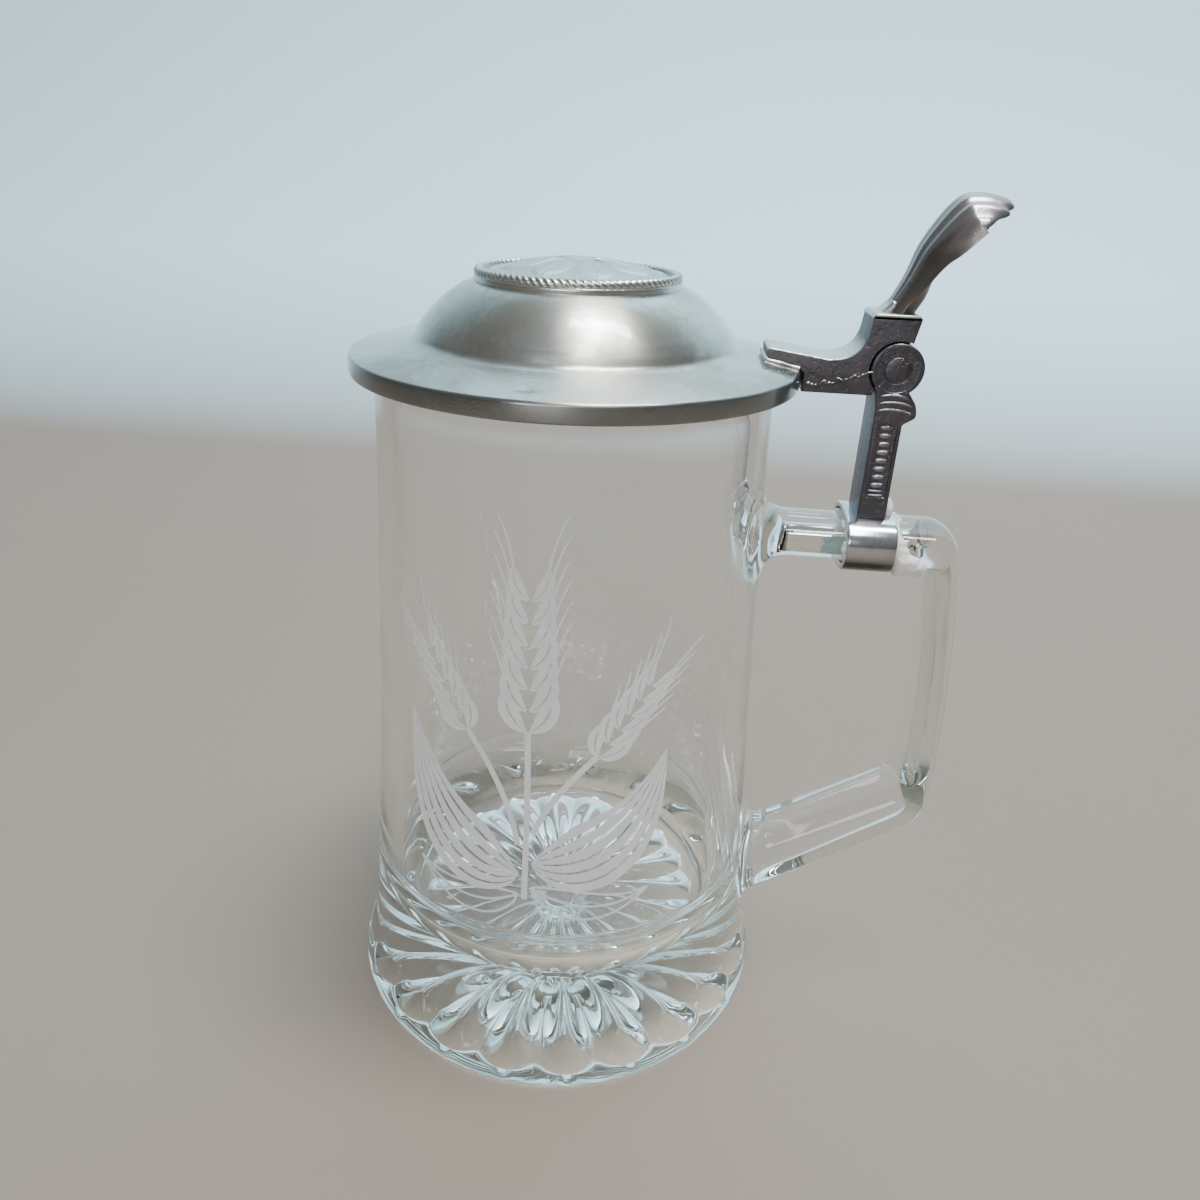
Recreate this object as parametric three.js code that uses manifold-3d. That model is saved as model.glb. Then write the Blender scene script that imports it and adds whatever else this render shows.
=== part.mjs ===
import * as THREE from 'three';
import { mergeVertices } from 'three/addons/utils/BufferGeometryUtils.js';
import Module from 'manifold-3d';

// Lidded glass beer stein: a pressed glass mug whose hinged pewter lid is strapped to its handle.
// Millimetres, +Z up, origin at the centre of the foot, handle towards +X.

// Glass body
const mugHeight = 148; // foot to rim
const mouthRadius = 39.8; // outside, at the rim
const waistRadius = 46.6; // outside, at the neck of the foot
const waistHeight = 13.5;
const taperPower = 1.4; // the wall leans most near the foot
const footFlare = 3.4; // foot beyond the waist
const footRound = 1.6;
const mouthWall = 3.8;
const baseWall = 5.4;
const floorHeight = 20.5; // top of the thick glass base
const floorCorner = 15;
const rimRound = 1.4;

// Sunburst pressed into the underside
const fluteCount = 20;
const fluteDepth = 4.6; // in the middle of each hollow
const ridgeDrop = 0.5; // ridges between the hollows, as a share of their depth
const fluteHub = 6; // radius of the plain disc in its middle
const bearingWidth = 3.4; // plain ring outside it

// Lid
const seatGap = 0.3; // air between the glass rim and the lid
const lidOverhang = 4.6; // lid beyond the glass
const lidEdge = 3; // seat to the top of its upright edge
const rimDrop = 0.7; // edge below the seat
const rimGap = 0.9; // between that skirt and the glass
const edgeRound = 0.9;
const flangeWidth = 12.4;
const flangeRise = 2.5;
const coveWidth = 2; // hollow where the flange turns up into the dome
const domeHeight = 10.7;
const domeShoulder = 11.5; // width of the dome's curve, seen from above
const domePower = 1.35; // 2 is a quarter round, 1 a cone
const lidWall = 1.8;
const lipDepth = 2; // locating lip inside the glass
const lipWidth = 1.8;
const lipClearance = 0.9;

// Medallion
const medallionInset = 0.35; // lid seat beyond the medallion
const medallionFoot = 0.9; // plain step under its rope
const ropeRadius = 0.8;
const medallionCrown = 2.3; // field above the rope

// Hinge
const hingeOffset = 17.9; // lid edge to pin axis
const hingeRise = 4.1; // glass rim to pin axis
const pinRadius = 2.5;
const pinClearance = 0.1;
const earRadius = 5.1;
const earThickness = 2.6;
const knuckleWidth = 5;
const sideGap = 0.2; // between knuckle and ears
const sweepGap = 0.4; // round the turning pieces

// Lug on the lid
const solderGap = 0.3;
const lugFoot = 7.2; // reach over the flange
const lugFootHeight = 2.3; // above the flange
const lugWaist = 1.4; // top of its arm above the pin axis
const lugFillet = 4; // sweep of the arm up to the block
const blockBack = 6.2; // block behind the pin axis
const blockFront = 3;
const blockTop = 9.4; // above the pin axis
const blockSlant = 1.1; // front face leans in towards the pin

// Thumblift
const plinthHeight = 0.8;
const leafHeight = 21.4; // plinth to crest
const leafReach = 16.4; // pin axis to tip
const leafNeck = 4.2; // half width at its foot
const leafSpread = 8.2; // half width at its widest
const neckThickness = 6.2;
const neckArch = 2.5; // ridge down to the sides, at the foot
const leafArch = 6.2; // the same where the leaf is widest
const leafTip = 1.6; // thickness at the free end
const leafEdge = 0.9; // thickness along the sides
const leafFlutes = 7;
const fluteRelief = 0.45;
const sideCut = 0.22; // share of the length by which the sides end short of the tip
const sidePower = 3.5; // the higher, the squarer the free end
const lobeDepth = 0.04; // share of the length

// Shank, band and cement
const shankBack = 3; // behind the pin axis
const shankFront = 2.7;
const beakReach = 2.3; // shoulder beyond the front
const beakDrop = 8.3; // pin axis down to the beak
const beakHeight = 4.6;
const panelDepth = 0.5; // recess on each side of the shank
const panelMargin = 0.9; // shank round the recess
const panelFoot = 3.9; // band up to the recess
const bandLength = 10;
const bandThickness = 1.3;
const cementThickness = 0.9;
const cementInboard = 1.2; // cement showing beyond the band, towards the mug
const cementOutboard = 4; // the same towards the grip
const fitGap = 0.1; // film between cement, glass and band

// Handle
const armDrop = 31.7; // rim to centre of the upper arm
const armWidth = 16;
const armThickness = 8;
const gripOffset = 16.1; // pin axis to centre of the grip's top
const gripTop = 6.6; // thickness at its top
const gripFoot = 7.2; // thickness at its foot
const gripLean = 5; // foot of the grip beyond its top
const gripBow = 1.6;
const gripWidth = 16;
const footCorner = 57.3; // height of the corner under the fingers
const lowerDrop = 10.1; // that corner down to the outer one
const lowerRootTop = 40.2; // where the lower arm meets the wall
const lowerRootDepth = 17.2;
const rootFlare = 3.4;
const rootReach = 6; // length of a flared root
const rootBury = 2.2; // depth fused into the wall
const outerCorner = 6.5;
const innerCorner = 3.5;

// Facets
const mugSegments = fluteCount * 4;
const lidSegments = 60;
const domeSteps = 8;
const pinSegments = 24;
const ovalPoints = 20;
const ovalPower = 2.6; // roundness of the handle's section
const railSteps = 4; // steps in each curve of the handle
const leafRows = 11;
const leafColumns = 28;
const weldDistance = 1e-4;

// Derived places
const footRadius = waistRadius + footFlare;
const fluteEdge = footRadius - footRound - bearingWidth;
const lidRadius = mouthRadius + lidOverhang;
const lidSeat = mugHeight + seatGap;
const edgeTop = lidSeat + lidEdge;
const domeRadius = lidRadius - flangeWidth;
const flangeTop = edgeTop + flangeRise;
const crownRadius = domeRadius - domeShoulder;
const crownHeight = flangeTop + domeHeight;
const hingeX = lidRadius + hingeOffset;
const hingeZ = mugHeight + hingeRise;
const hingeHalf = knuckleWidth / 2 + sideGap + earThickness;
const armZ = mugHeight - armDrop;
const bandHalfY = armWidth / 2 + cementThickness + bandThickness;
const bandHalfZ = armThickness / 2 + cementThickness + bandThickness;

const wasm = await Module();
wasm.setup();

const { lerp, smoothstep } = THREE.MathUtils;

// Points of a circular arc, angles in radians
function arc(centreX, centreY, radius, from, to, steps) {
  const points = [];
  for (let i = 0; i <= steps; i++) {
    const angle = lerp(from, to, i / steps);
    points.push(new THREE.Vector2(centreX + radius * Math.cos(angle), centreY + radius * Math.sin(angle)));
  }
  return points;
}

// Closed mesh with shared vertices, no empty triangles, and its faces pointing out
function weld(geometry) {
  const bare = new THREE.BufferGeometry();
  bare.setAttribute('position', geometry.attributes.position);
  bare.setIndex(geometry.index);
  const merged = mergeVertices(bare, weldDistance);
  const old = merged.index.array;
  const position = merged.attributes.position;
  const corner = [new THREE.Vector3(), new THREE.Vector3(), new THREE.Vector3()];
  const kept = [];
  let volume = 0;
  for (let i = 0; i < old.length; i += 3) {
    const [a, b, c] = old.slice(i, i + 3);
    if (a === b || b === c || c === a) {
      continue;
    }
    kept.push(a, b, c);
    corner[0].fromBufferAttribute(position, a);
    corner[1].fromBufferAttribute(position, b);
    corner[2].fromBufferAttribute(position, c);
    volume += corner[0].dot(corner[1].clone().cross(corner[2]));
  }
  merged.setIndex(volume < 0 ? kept.reverse() : kept);
  return merged;
}

function toSolid(geometry) {
  const closed = weld(geometry);
  const vertProperties = new Float32Array(closed.attributes.position.array);
  const triVerts = new Uint32Array(closed.index.array);
  return new wasm.Manifold(new wasm.Mesh({ numProp: 3, vertProperties, triVerts }));
}

function toGeometry(solid) {
  const mesh = solid.getMesh();
  const geometry = new THREE.BufferGeometry();
  geometry.setAttribute('position', new THREE.BufferAttribute(new Float32Array(mesh.vertProperties), 3));
  geometry.setIndex(new THREE.BufferAttribute(new Uint32Array(mesh.triVerts), 1));
  geometry.computeVertexNormals();
  return geometry;
}

// Profile of radius and height turned round the mug's axis
function revolve(profile, segments) {
  return new THREE.LatheGeometry(profile, segments).rotateX(Math.PI / 2);
}

// Outline in the XZ plane given a width along Y, centred on the plane of the handle
function slab(outline, width) {
  const settings = { depth: width, bevelEnabled: false, curveSegments: 10 };
  return new THREE.ExtrudeGeometry(outline, settings).rotateX(Math.PI / 2).translate(0, width / 2, 0);
}

// Round bar along the pin axis, from one side of the hinge to the other
function hingeBar(radius, fromY, toY) {
  const bar = new THREE.CylinderGeometry(radius, radius, toY - fromY, pinSegments);
  return bar.translate(hingeX, (fromY + toY) / 2, hingeZ);
}

// Skin over a row of rings with equal point counts, joined into a loop or capped at its ends by strips
// from each point to the one facing it
function loft(rings, looped) {
  const count = rings[0].length;
  const points = rings.flat();
  const index = [];
  const last = looped ? rings.length : rings.length - 1;
  for (let i = 0; i < last; i++) {
    const here = i * count;
    const next = ((i + 1) % rings.length) * count;
    for (let j = 0; j < count; j++) {
      const beside = (j + 1) % count;
      index.push(here + j, here + beside, next + j);
      index.push(here + beside, next + beside, next + j);
    }
  }
  const end = (rings.length - 1) * count;
  for (let a = 0; !looped && a < count / 2 - 1; a++) {
    const b = a + 1;
    const c = count - 1 - b;
    const d = count - 1 - a;
    index.push(a, c, b, a, d, c);
    index.push(end + a, end + b, end + c, end + a, end + c, end + d);
  }
  const geometry = new THREE.BufferGeometry().setFromPoints(points);
  geometry.setIndex(index);
  return geometry;
}

// Rounded oval of unit half sizes: corners fuller than an ellipse
function unitOval() {
  const points = [];
  for (let i = 0; i < ovalPoints; i++) {
    const angle = (2 * Math.PI * i) / ovalPoints;
    const across = Math.sign(Math.sin(angle)) * Math.pow(Math.abs(Math.sin(angle)), 2 / ovalPower);
    const up = Math.sign(Math.cos(angle)) * Math.pow(Math.abs(Math.cos(angle)), 2 / ovalPower);
    points.push(new THREE.Vector2(across, up));
  }
  return points;
}

function outerRadius(z) {
  const rise = (z - waistHeight) / (mugHeight - waistHeight);
  return mouthRadius + (waistRadius - mouthRadius) * Math.pow(1 - rise, taperPower);
}

function innerRadius(z) {
  return outerRadius(z) - lerp(baseWall, mouthWall, (z - floorHeight) / (mugHeight - floorHeight));
}

// Mug profile: underside, foot, wall, rim, bore and floor
function bodyProfile() {
  const profile = [new THREE.Vector2(0, 0), new THREE.Vector2(fluteHub, 0)];
  for (const share of [0.12, 0.3, 0.5, 0.7, 0.88]) {
    profile.push(new THREE.Vector2(lerp(fluteHub, fluteEdge, share), 0));
  }
  profile.push(new THREE.Vector2(fluteEdge, 0));
  profile.push(...arc(footRadius - footRound, footRound, footRound, -Math.PI / 2, 0, 3));
  const ogeeSteps = 5;
  for (let i = 1; i <= ogeeSteps; i++) {
    const share = i / ogeeSteps;
    const swell = 0.5 + 0.5 * Math.cos(Math.PI * share);
    profile.push(new THREE.Vector2(waistRadius + footFlare * swell, lerp(footRound, waistHeight, share)));
  }
  const wallShares = [0.06, 0.15, 0.32, 0.55, 0.8];
  const wallTop = mugHeight - rimRound;
  for (const share of wallShares) {
    const z = lerp(waistHeight, wallTop, share);
    profile.push(new THREE.Vector2(outerRadius(z), z));
  }
  profile.push(...arc(outerRadius(wallTop) - rimRound, wallTop, rimRound, 0, Math.PI / 2, 3));
  profile.push(...arc(innerRadius(wallTop) + rimRound, wallTop, rimRound, Math.PI / 2, Math.PI, 3));
  const boreFoot = floorHeight + floorCorner;
  for (const share of [0.25, 0.55, 0.8]) {
    const z = lerp(wallTop, boreFoot, share);
    profile.push(new THREE.Vector2(innerRadius(z), z));
  }
  const cornerCentre = innerRadius(boreFoot) - floorCorner;
  profile.push(...arc(cornerCentre, boreFoot, floorCorner, 0, -Math.PI / 2, 4));
  profile.push(new THREE.Vector2(0, floorHeight));
  return profile;
}

// Presses petal-shaped hollows into the flat underside, with sharp ridges between them
function pressSunburst(geometry) {
  const position = geometry.attributes.position;
  for (let i = 0; i < position.count; i++) {
    const along = (Math.hypot(position.getX(i), position.getY(i)) - fluteHub) / (fluteEdge - fluteHub);
    const onUnderside = Math.abs(position.getZ(i)) < weldDistance;
    if (onUnderside && along > 0 && along < 1) {
      const turn = (fluteCount * Math.atan2(position.getY(i), position.getX(i))) / (2 * Math.PI);
      const across = 2 * (turn - Math.floor(turn)) - 1;
      position.setZ(i, fluteDepth * Math.sin(Math.PI * along) * (1 - ridgeDrop * across * across));
    }
  }
  return geometry;
}

// One rail of the handle in the XZ plane; side is +1 for its outside and -1 for the finger side
function handleRail(side) {
  const corner = side > 0 ? outerCorner : innerCorner;
  const armEdge = armZ + (side * armThickness) / 2;
  const upperWall = outerRadius(armZ);
  const topX = hingeX + gripOffset + (side * gripTop) / 2;
  const footX = hingeX + gripOffset + gripLean + (side * gripFoot) / 2;
  const footZ = side > 0 ? footCorner - lowerDrop : footCorner;
  const lowerWall = outerRadius(lowerRootTop);
  const rootZ = side > 0 ? lowerRootTop - lowerRootDepth : lowerRootTop;
  const gripStart = new THREE.Vector2(lerp(topX, footX, 0.08), armEdge - corner);
  const gripEnd = new THREE.Vector2(footX, footZ + corner);
  const arms = new THREE.Vector2(footX - lowerWall - rootReach, footZ - rootZ);
  const cornerOut = new THREE.Vector2(footX, footZ).addScaledVector(arms, -corner / arms.length());
  const middle = gripStart.clone().add(gripEnd).multiplyScalar(0.5);
  const rail = new THREE.Path();
  rail.moveTo(upperWall - rootBury, armEdge + side * rootFlare);
  rail.quadraticCurveTo(upperWall + rootReach / 3, armEdge, upperWall + rootReach, armEdge);
  rail.lineTo(gripStart.x - corner, armEdge);
  rail.quadraticCurveTo(gripStart.x - 0.1 * corner, armEdge, gripStart.x, gripStart.y);
  rail.quadraticCurveTo(middle.x + 2 * gripBow, middle.y, gripEnd.x, gripEnd.y);
  rail.quadraticCurveTo(footX, footZ, cornerOut.x, cornerOut.y);
  rail.lineTo(lowerWall + rootReach, rootZ);
  const flaredZ = rootZ - side * (rootFlare + (side * arms.y * rootReach) / arms.x / 2);
  rail.quadraticCurveTo(lowerWall + rootReach / 3, (rootZ + flaredZ) / 2, lowerWall - rootBury, flaredZ);
  return rail.getPoints(railSteps);
}

// Handle: an oval section carried between its two rails, wider where it runs into the wall
function handle() {
  const outside = handleRail(1);
  const inside = handleRail(-1);
  const oval = unitOval();
  const armEnd = railSteps + 1;
  const rings = outside.map((outer, i) => {
    const inner = inside[i];
    const fromEnd = Math.min(i, outside.length - 1 - i);
    const flare = rootFlare * Math.pow(Math.max(0, 1 - fromEnd / railSteps), 2);
    const halfWidth = lerp(armWidth, gripWidth, smoothstep(i, armEnd, armEnd + railSteps)) / 2 + flare;
    return oval.map((point) => {
      const across = 0.5 + 0.5 * point.y;
      return new THREE.Vector3(
        lerp(inner.x, outer.x, across),
        halfWidth * point.x,
        lerp(inner.y, outer.y, across),
      );
    });
  });
  return loft(rings, false);
}

function glassMug() {
  const body = toSolid(pressSunburst(revolve(bodyProfile(), mugSegments)));
  return toGeometry(body.add(toSolid(handle())));
}

// Dome's curve from its foot to its crown, between a quarter round and a cone
function domeCurve(crown, foot, steps) {
  const points = [];
  for (let i = 0; i <= steps; i++) {
    const angle = (Math.PI / 2) * (i / steps);
    const out = Math.pow(Math.max(0, Math.cos(angle)), 2 / domePower);
    const up = Math.pow(Math.sin(angle), 2 / domePower);
    points.push(new THREE.Vector2(crown + domeShoulder * out, foot + domeHeight * up));
  }
  return points;
}

// Upper side of the lid from its rim to its crown, raised by a clearance
function lidTop(clearance) {
  const radius = lidRadius + clearance;
  const top = edgeTop + clearance;
  const rise = flangeTop + clearance;
  const edge = arc(radius - edgeRound, top - edgeRound, edgeRound, 0, Math.PI / 2, 3);
  const flange = [
    new THREE.Vector2(domeRadius + clearance + coveWidth, lerp(rise, top, 0.32)),
    new THREE.Vector2(domeRadius + clearance + 0.3 * coveWidth, lerp(rise, top, 0.16)),
  ];
  return [...edge, ...flange, ...domeCurve(crownRadius + clearance, rise, domeSteps)];
}

// Domed lid, hollow below, with a lip that drops inside the glass
function lidShell() {
  const lipRadius = innerRadius(mugHeight) - lipClearance;
  const lipFoot = lidSeat - lipDepth;
  const lipInside = lipRadius - lipWidth;
  const inside = domeCurve(crownRadius - lidWall, flangeTop - lidWall, domeSteps - 3).reverse();
  const profile = [new THREE.Vector2(0, crownHeight - lidWall)];
  profile.push(...inside.map((point) => new THREE.Vector2(Math.min(point.x, lipInside), point.y)));
  profile.push(new THREE.Vector2(lipInside, lipFoot));
  profile.push(new THREE.Vector2(lipRadius, lipFoot));
  profile.push(new THREE.Vector2(lipRadius, lidSeat));
  profile.push(new THREE.Vector2(mouthRadius + rimGap, lidSeat));
  profile.push(new THREE.Vector2(mouthRadius + rimGap, lidSeat - rimDrop));
  profile.push(...arc(lidRadius - edgeRound, lidSeat - rimDrop + edgeRound, edgeRound, -Math.PI / 2, 0, 2));
  profile.push(...lidTop(0));
  profile.push(new THREE.Vector2(0, crownHeight));
  return weld(revolve(profile, lidSegments));
}

// Cast medallion: a plain step, a rope border and a low crowned field
function lidMedallion() {
  const radius = crownRadius - medallionInset;
  const ropeCentre = radius - ropeRadius;
  const ropeZ = crownHeight + medallionFoot + ropeRadius;
  const profile = [new THREE.Vector2(0, crownHeight), new THREE.Vector2(radius, crownHeight)];
  profile.push(new THREE.Vector2(radius, crownHeight + medallionFoot));
  profile.push(...arc(ropeCentre, ropeZ, ropeRadius, -Math.PI / 4, Math.PI / 2, 5));
  const steps = 5;
  for (let i = 1; i <= steps; i++) {
    const angle = (Math.PI / 2) * (i / steps);
    const r = ropeCentre * Math.cos(angle);
    profile.push(new THREE.Vector2(r, ropeZ + ropeRadius + medallionCrown * Math.sin(angle)));
  }
  return weld(revolve(profile, lidSegments));
}

// Lug: a foot on the flange, an arm, a block for the thumblift and the middle knuckle of the hinge
function lidLug() {
  const tip = lidRadius - lugFoot;
  const flangeSlope = flangeRise / flangeWidth;
  const footTop = edgeTop + flangeSlope * lugFoot + lugFootHeight;
  const bottom = lidSeat + solderGap;
  const nose = lugFootHeight / 3;
  const outline = new THREE.Shape();
  outline.moveTo(tip, bottom);
  outline.lineTo(tip, footTop - nose);
  outline.quadraticCurveTo(tip, footTop, tip + nose, footTop);
  const blockX = hingeX - blockBack;
  const armTop = hingeZ + lugWaist;
  outline.lineTo(blockX - lugFillet, armTop);
  outline.quadraticCurveTo(blockX, armTop, blockX, armTop + lugFillet);
  outline.lineTo(blockX, hingeZ + blockTop);
  outline.lineTo(hingeX + blockFront, hingeZ + blockTop);
  outline.lineTo(hingeX + blockFront - blockSlant, hingeZ + earRadius);
  const lowest = Math.PI + Math.asin((hingeZ - bottom) / earRadius);
  outline.absarc(hingeX, hingeZ, earRadius, Math.PI / 3, lowest - 2 * Math.PI, true);
  const recess = earRadius + sweepGap;
  const outside = 2 * hingeHalf;
  const inside = knuckleWidth / 2;
  const seat = [new THREE.Vector2(0, 0), new THREE.Vector2(lidRadius + solderGap, 0), ...lidTop(solderGap)];
  seat.push(new THREE.Vector2(0, crownHeight + solderGap));
  const solid = toSolid(slab(outline, 2 * hingeHalf))
    .subtract(toSolid(revolve(seat, lidSegments)))
    .subtract(toSolid(hingeBar(recess, inside, outside)))
    .subtract(toSolid(hingeBar(recess, -outside, -inside)))
    .subtract(toSolid(hingeBar(pinRadius + pinClearance, -outside, outside)));
  return toGeometry(solid);
}

// Ridge of the thumblift in the XZ plane: up from the plinth, then curled outwards to its tip
function leafRidge(plinthBack, plinthTop) {
  const at = (out, up) => new THREE.Vector2(hingeX + out * leafReach, plinthTop + up * leafHeight);
  const foot = new THREE.Vector2(plinthBack, plinthTop - plinthHeight / 2);
  return new THREE.SplineCurve([
    foot,
    at(-0.055, 0.29),
    at(0.085, 0.607),
    at(0.372, 0.94),
    at(0.64, 1),
    at(1, 0.953),
  ]);
}

// One section across the thumblift: u runs from its foot to its free end, and both skins arch down
function leafSection(ridge, u) {
  const spread = lerp(leafNeck, leafSpread, smoothstep(u, 0.08, 0.75));
  const arch = lerp(neckArch, leafArch, smoothstep(u, 0.1, 0.85));
  const thickness = lerp(neckThickness, leafTip, smoothstep(u, 0, 0.8));
  const tilt = smoothstep(u, 0, 0.3);
  const skin = (upper) => (_, j) => {
    const v = (2 * j) / leafColumns - 1;
    const groove = 0.5 - 0.5 * Math.cos(leafFlutes * Math.PI * v);
    const along = u * (1 - sideCut * Math.pow(Math.abs(v), sidePower) - lobeDepth * groove);
    const point = ridge.getPointAt(along);
    const forward = ridge.getTangentAt(along);
    const inward = new THREE.Vector2(lerp(1, forward.y, tilt), lerp(0, -forward.x, tilt)).normalize();
    const fluted = arch * v * v + fluteRelief * u * groove;
    const drop = upper ? fluted : lerp(thickness, arch + leafEdge, v * v);
    return new THREE.Vector3(point.x + inward.x * drop, spread * v, point.y + inward.y * drop);
  };
  const back = Array.from({ length: leafColumns + 1 }, skin(true));
  const hollow = Array.from({ length: leafColumns + 1 }, skin(false)).reverse();
  return [...back, ...hollow];
}

// Thumblift: a plinth on the block and a fluted shell, arched across, that curls outwards to a lobed edge
function thumblift() {
  const foot = hingeZ + blockTop;
  const plinthTop = foot + plinthHeight;
  const plinthBack = hingeX - blockBack + blockSlant;
  const plinth = new THREE.Shape();
  plinth.moveTo(plinthBack, foot);
  plinth.lineTo(hingeX + blockFront, foot);
  plinth.lineTo(hingeX + blockFront - blockSlant / 2, plinthTop);
  plinth.lineTo(plinthBack + blockSlant / 2, plinthTop);
  const ridge = leafRidge(plinthBack + blockSlant, plinthTop);
  const rings = [];
  for (let i = 0; i <= leafRows; i++) {
    rings.push(leafSection(ridge, i / leafRows));
  }
  const solid = toSolid(slab(plinth, 2 * hingeHalf)).add(toSolid(loft(rings, false)));
  return toGeometry(solid);
}

function hingePin() {
  return weld(hingeBar(pinRadius, -hingeHalf, hingeHalf));
}

// Ring of the band or the cement round the upper arm
function armRing(x, halfY, halfZ) {
  return unitOval().map((point) => new THREE.Vector3(x, halfY * point.x, armZ + halfZ * point.y));
}

// Shank: saddled on the band, with a beaked shoulder, side panels and the two outer ears
function hingeShank() {
  const beakZ = hingeZ - beakDrop;
  const beakTop = beakZ + 0.7 * beakHeight;
  const outline = new THREE.Shape();
  outline.moveTo(hingeX - shankBack, armZ);
  outline.lineTo(hingeX + shankFront, armZ);
  outline.lineTo(hingeX + shankFront, beakZ - 0.3 * beakHeight);
  outline.lineTo(hingeX + shankFront + beakReach, beakZ);
  outline.lineTo(hingeX + shankFront + beakReach, beakZ + 0.25 * beakHeight);
  outline.quadraticCurveTo(hingeX + shankFront, beakTop, hingeX + shankFront, hingeZ);
  outline.lineTo(hingeX - shankBack, hingeZ);
  const halfKnuckle = knuckleWidth / 2 + sideGap;
  const saddle = [-bandLength, bandLength].map((x) =>
    armRing(hingeX + x, bandHalfY + fitGap, bandHalfZ + fitGap),
  );
  const panelBottom = armZ + bandHalfZ + panelFoot;
  const panelTop = beakZ - 0.3 * beakHeight - panelMargin;
  const panel = new THREE.Shape();
  panel.moveTo(hingeX - shankBack + panelMargin, panelBottom);
  panel.lineTo(hingeX + shankFront - panelMargin, panelBottom);
  panel.lineTo(hingeX + shankFront - panelMargin, panelTop);
  panel.lineTo(hingeX - shankBack + panelMargin, panelTop);
  const recess = slab(panel, 2 * panelDepth);
  const solid = toSolid(slab(outline, 2 * hingeHalf))
    .add(toSolid(hingeBar(earRadius, -hingeHalf, hingeHalf)))
    .subtract(toSolid(hingeBar(earRadius + sweepGap, -halfKnuckle, halfKnuckle)))
    .subtract(toSolid(hingeBar(pinRadius + pinClearance, -2 * hingeHalf, 2 * hingeHalf)))
    .subtract(toSolid(loft(saddle, false)))
    .subtract(toSolid(recess.clone().translate(0, hingeHalf, 0)))
    .subtract(toSolid(recess.clone().translate(0, -hingeHalf, 0)));
  return toGeometry(solid);
}

// Oval strap closed round the upper arm
function handleBand() {
  const bevel = 0.3 * bandThickness;
  const half = bandLength / 2;
  const insideY = bandHalfY - bandThickness;
  const insideZ = bandHalfZ - bandThickness;
  const rings = [
    armRing(hingeX - half, bandHalfY - bevel, bandHalfZ - bevel),
    armRing(hingeX - half + bevel, bandHalfY, bandHalfZ),
    armRing(hingeX + half - bevel, bandHalfY, bandHalfZ),
    armRing(hingeX + half, bandHalfY - bevel, bandHalfZ - bevel),
    armRing(hingeX + half, insideY, insideZ),
    armRing(hingeX - half, insideY, insideZ),
  ];
  return weld(loft(rings, true));
}

// Cement bed between the band and the glass, with a collar showing at each side
function bandCement() {
  const inboard = hingeX - bandLength / 2;
  const outboard = hingeX + bandLength / 2;
  const insideY = armWidth / 2 + fitGap;
  const insideZ = armThickness / 2 + fitGap;
  const outsideY = bandHalfY - bandThickness - fitGap;
  const outsideZ = bandHalfZ - bandThickness - fitGap;
  const thin = 0.5 * cementThickness;
  const rings = [
    armRing(inboard - cementInboard, outsideY - thin, outsideZ - thin),
    armRing(inboard - cementInboard / 2, outsideY, outsideZ),
    armRing(outboard + cementOutboard / 2, outsideY, outsideZ),
    armRing(outboard + cementOutboard, outsideY - thin, outsideZ - thin),
    armRing(outboard + cementOutboard, insideY, insideZ),
    armRing(inboard - cementInboard, insideY, insideZ),
  ];
  return weld(loft(rings, true));
}

const glass = { color: 0xdde6e3, roughness: 0.03, metalness: 0, transparent: true, opacity: 0.35 };
const pewter = { color: 0xb9bcb8, roughness: 0.36, metalness: 1 };
const castPewter = { color: 0x6d6d70, roughness: 0.48, metalness: 1 };
const polished = { color: 0xa9abaf, roughness: 0.2, metalness: 1 };
const plaster = { color: 0xe9e6df, roughness: 0.9, metalness: 0 };

const pieces = [
  ['glass_mug', glassMug(), glass],
  ['lid_shell', lidShell(), pewter],
  ['lid_medallion', lidMedallion(), pewter],
  ['lid_lug', lidLug(), castPewter],
  ['thumblift', thumblift(), pewter],
  ['hinge_pin', hingePin(), castPewter],
  ['hinge_shank', hingeShank(), castPewter],
  ['handle_band', handleBand(), polished],
  ['band_cement', bandCement(), plaster],
];

const stein = new THREE.Group();
for (const [name, geometry, finish] of pieces) {
  const mesh = new THREE.Mesh(geometry, new THREE.MeshStandardMaterial(finish));
  mesh.name = name;
  stein.add(mesh);
}

export default stein;
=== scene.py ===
"""Dress the packed frame of a lidded glass stein: pressed glass, pewter lid, hinge, strap and cement."""
import math

import bmesh
import bpy
import numpy as np
from bpy.props import FloatProperty, FloatVectorProperty, IntProperty, PointerProperty
from mathutils import Matrix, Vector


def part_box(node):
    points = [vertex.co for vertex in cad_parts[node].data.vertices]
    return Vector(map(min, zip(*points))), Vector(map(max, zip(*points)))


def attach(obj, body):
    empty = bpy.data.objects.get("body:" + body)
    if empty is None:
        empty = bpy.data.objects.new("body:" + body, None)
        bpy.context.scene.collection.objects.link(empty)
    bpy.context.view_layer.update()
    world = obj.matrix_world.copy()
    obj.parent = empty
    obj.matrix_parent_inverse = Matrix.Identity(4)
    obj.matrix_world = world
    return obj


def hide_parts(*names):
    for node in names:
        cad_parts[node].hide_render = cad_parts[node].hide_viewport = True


bl_info = {
    "name": "Lidded glass stein",
    "version": (1, 0, 0),
    "blender": (4, 5, 0),
    "location": "3D View > Sidebar > Stein",
    "description": "Builds the glass, pewter and fittings of a lidded stein on its packed frame",
    "category": "Add Mesh",
}

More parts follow.
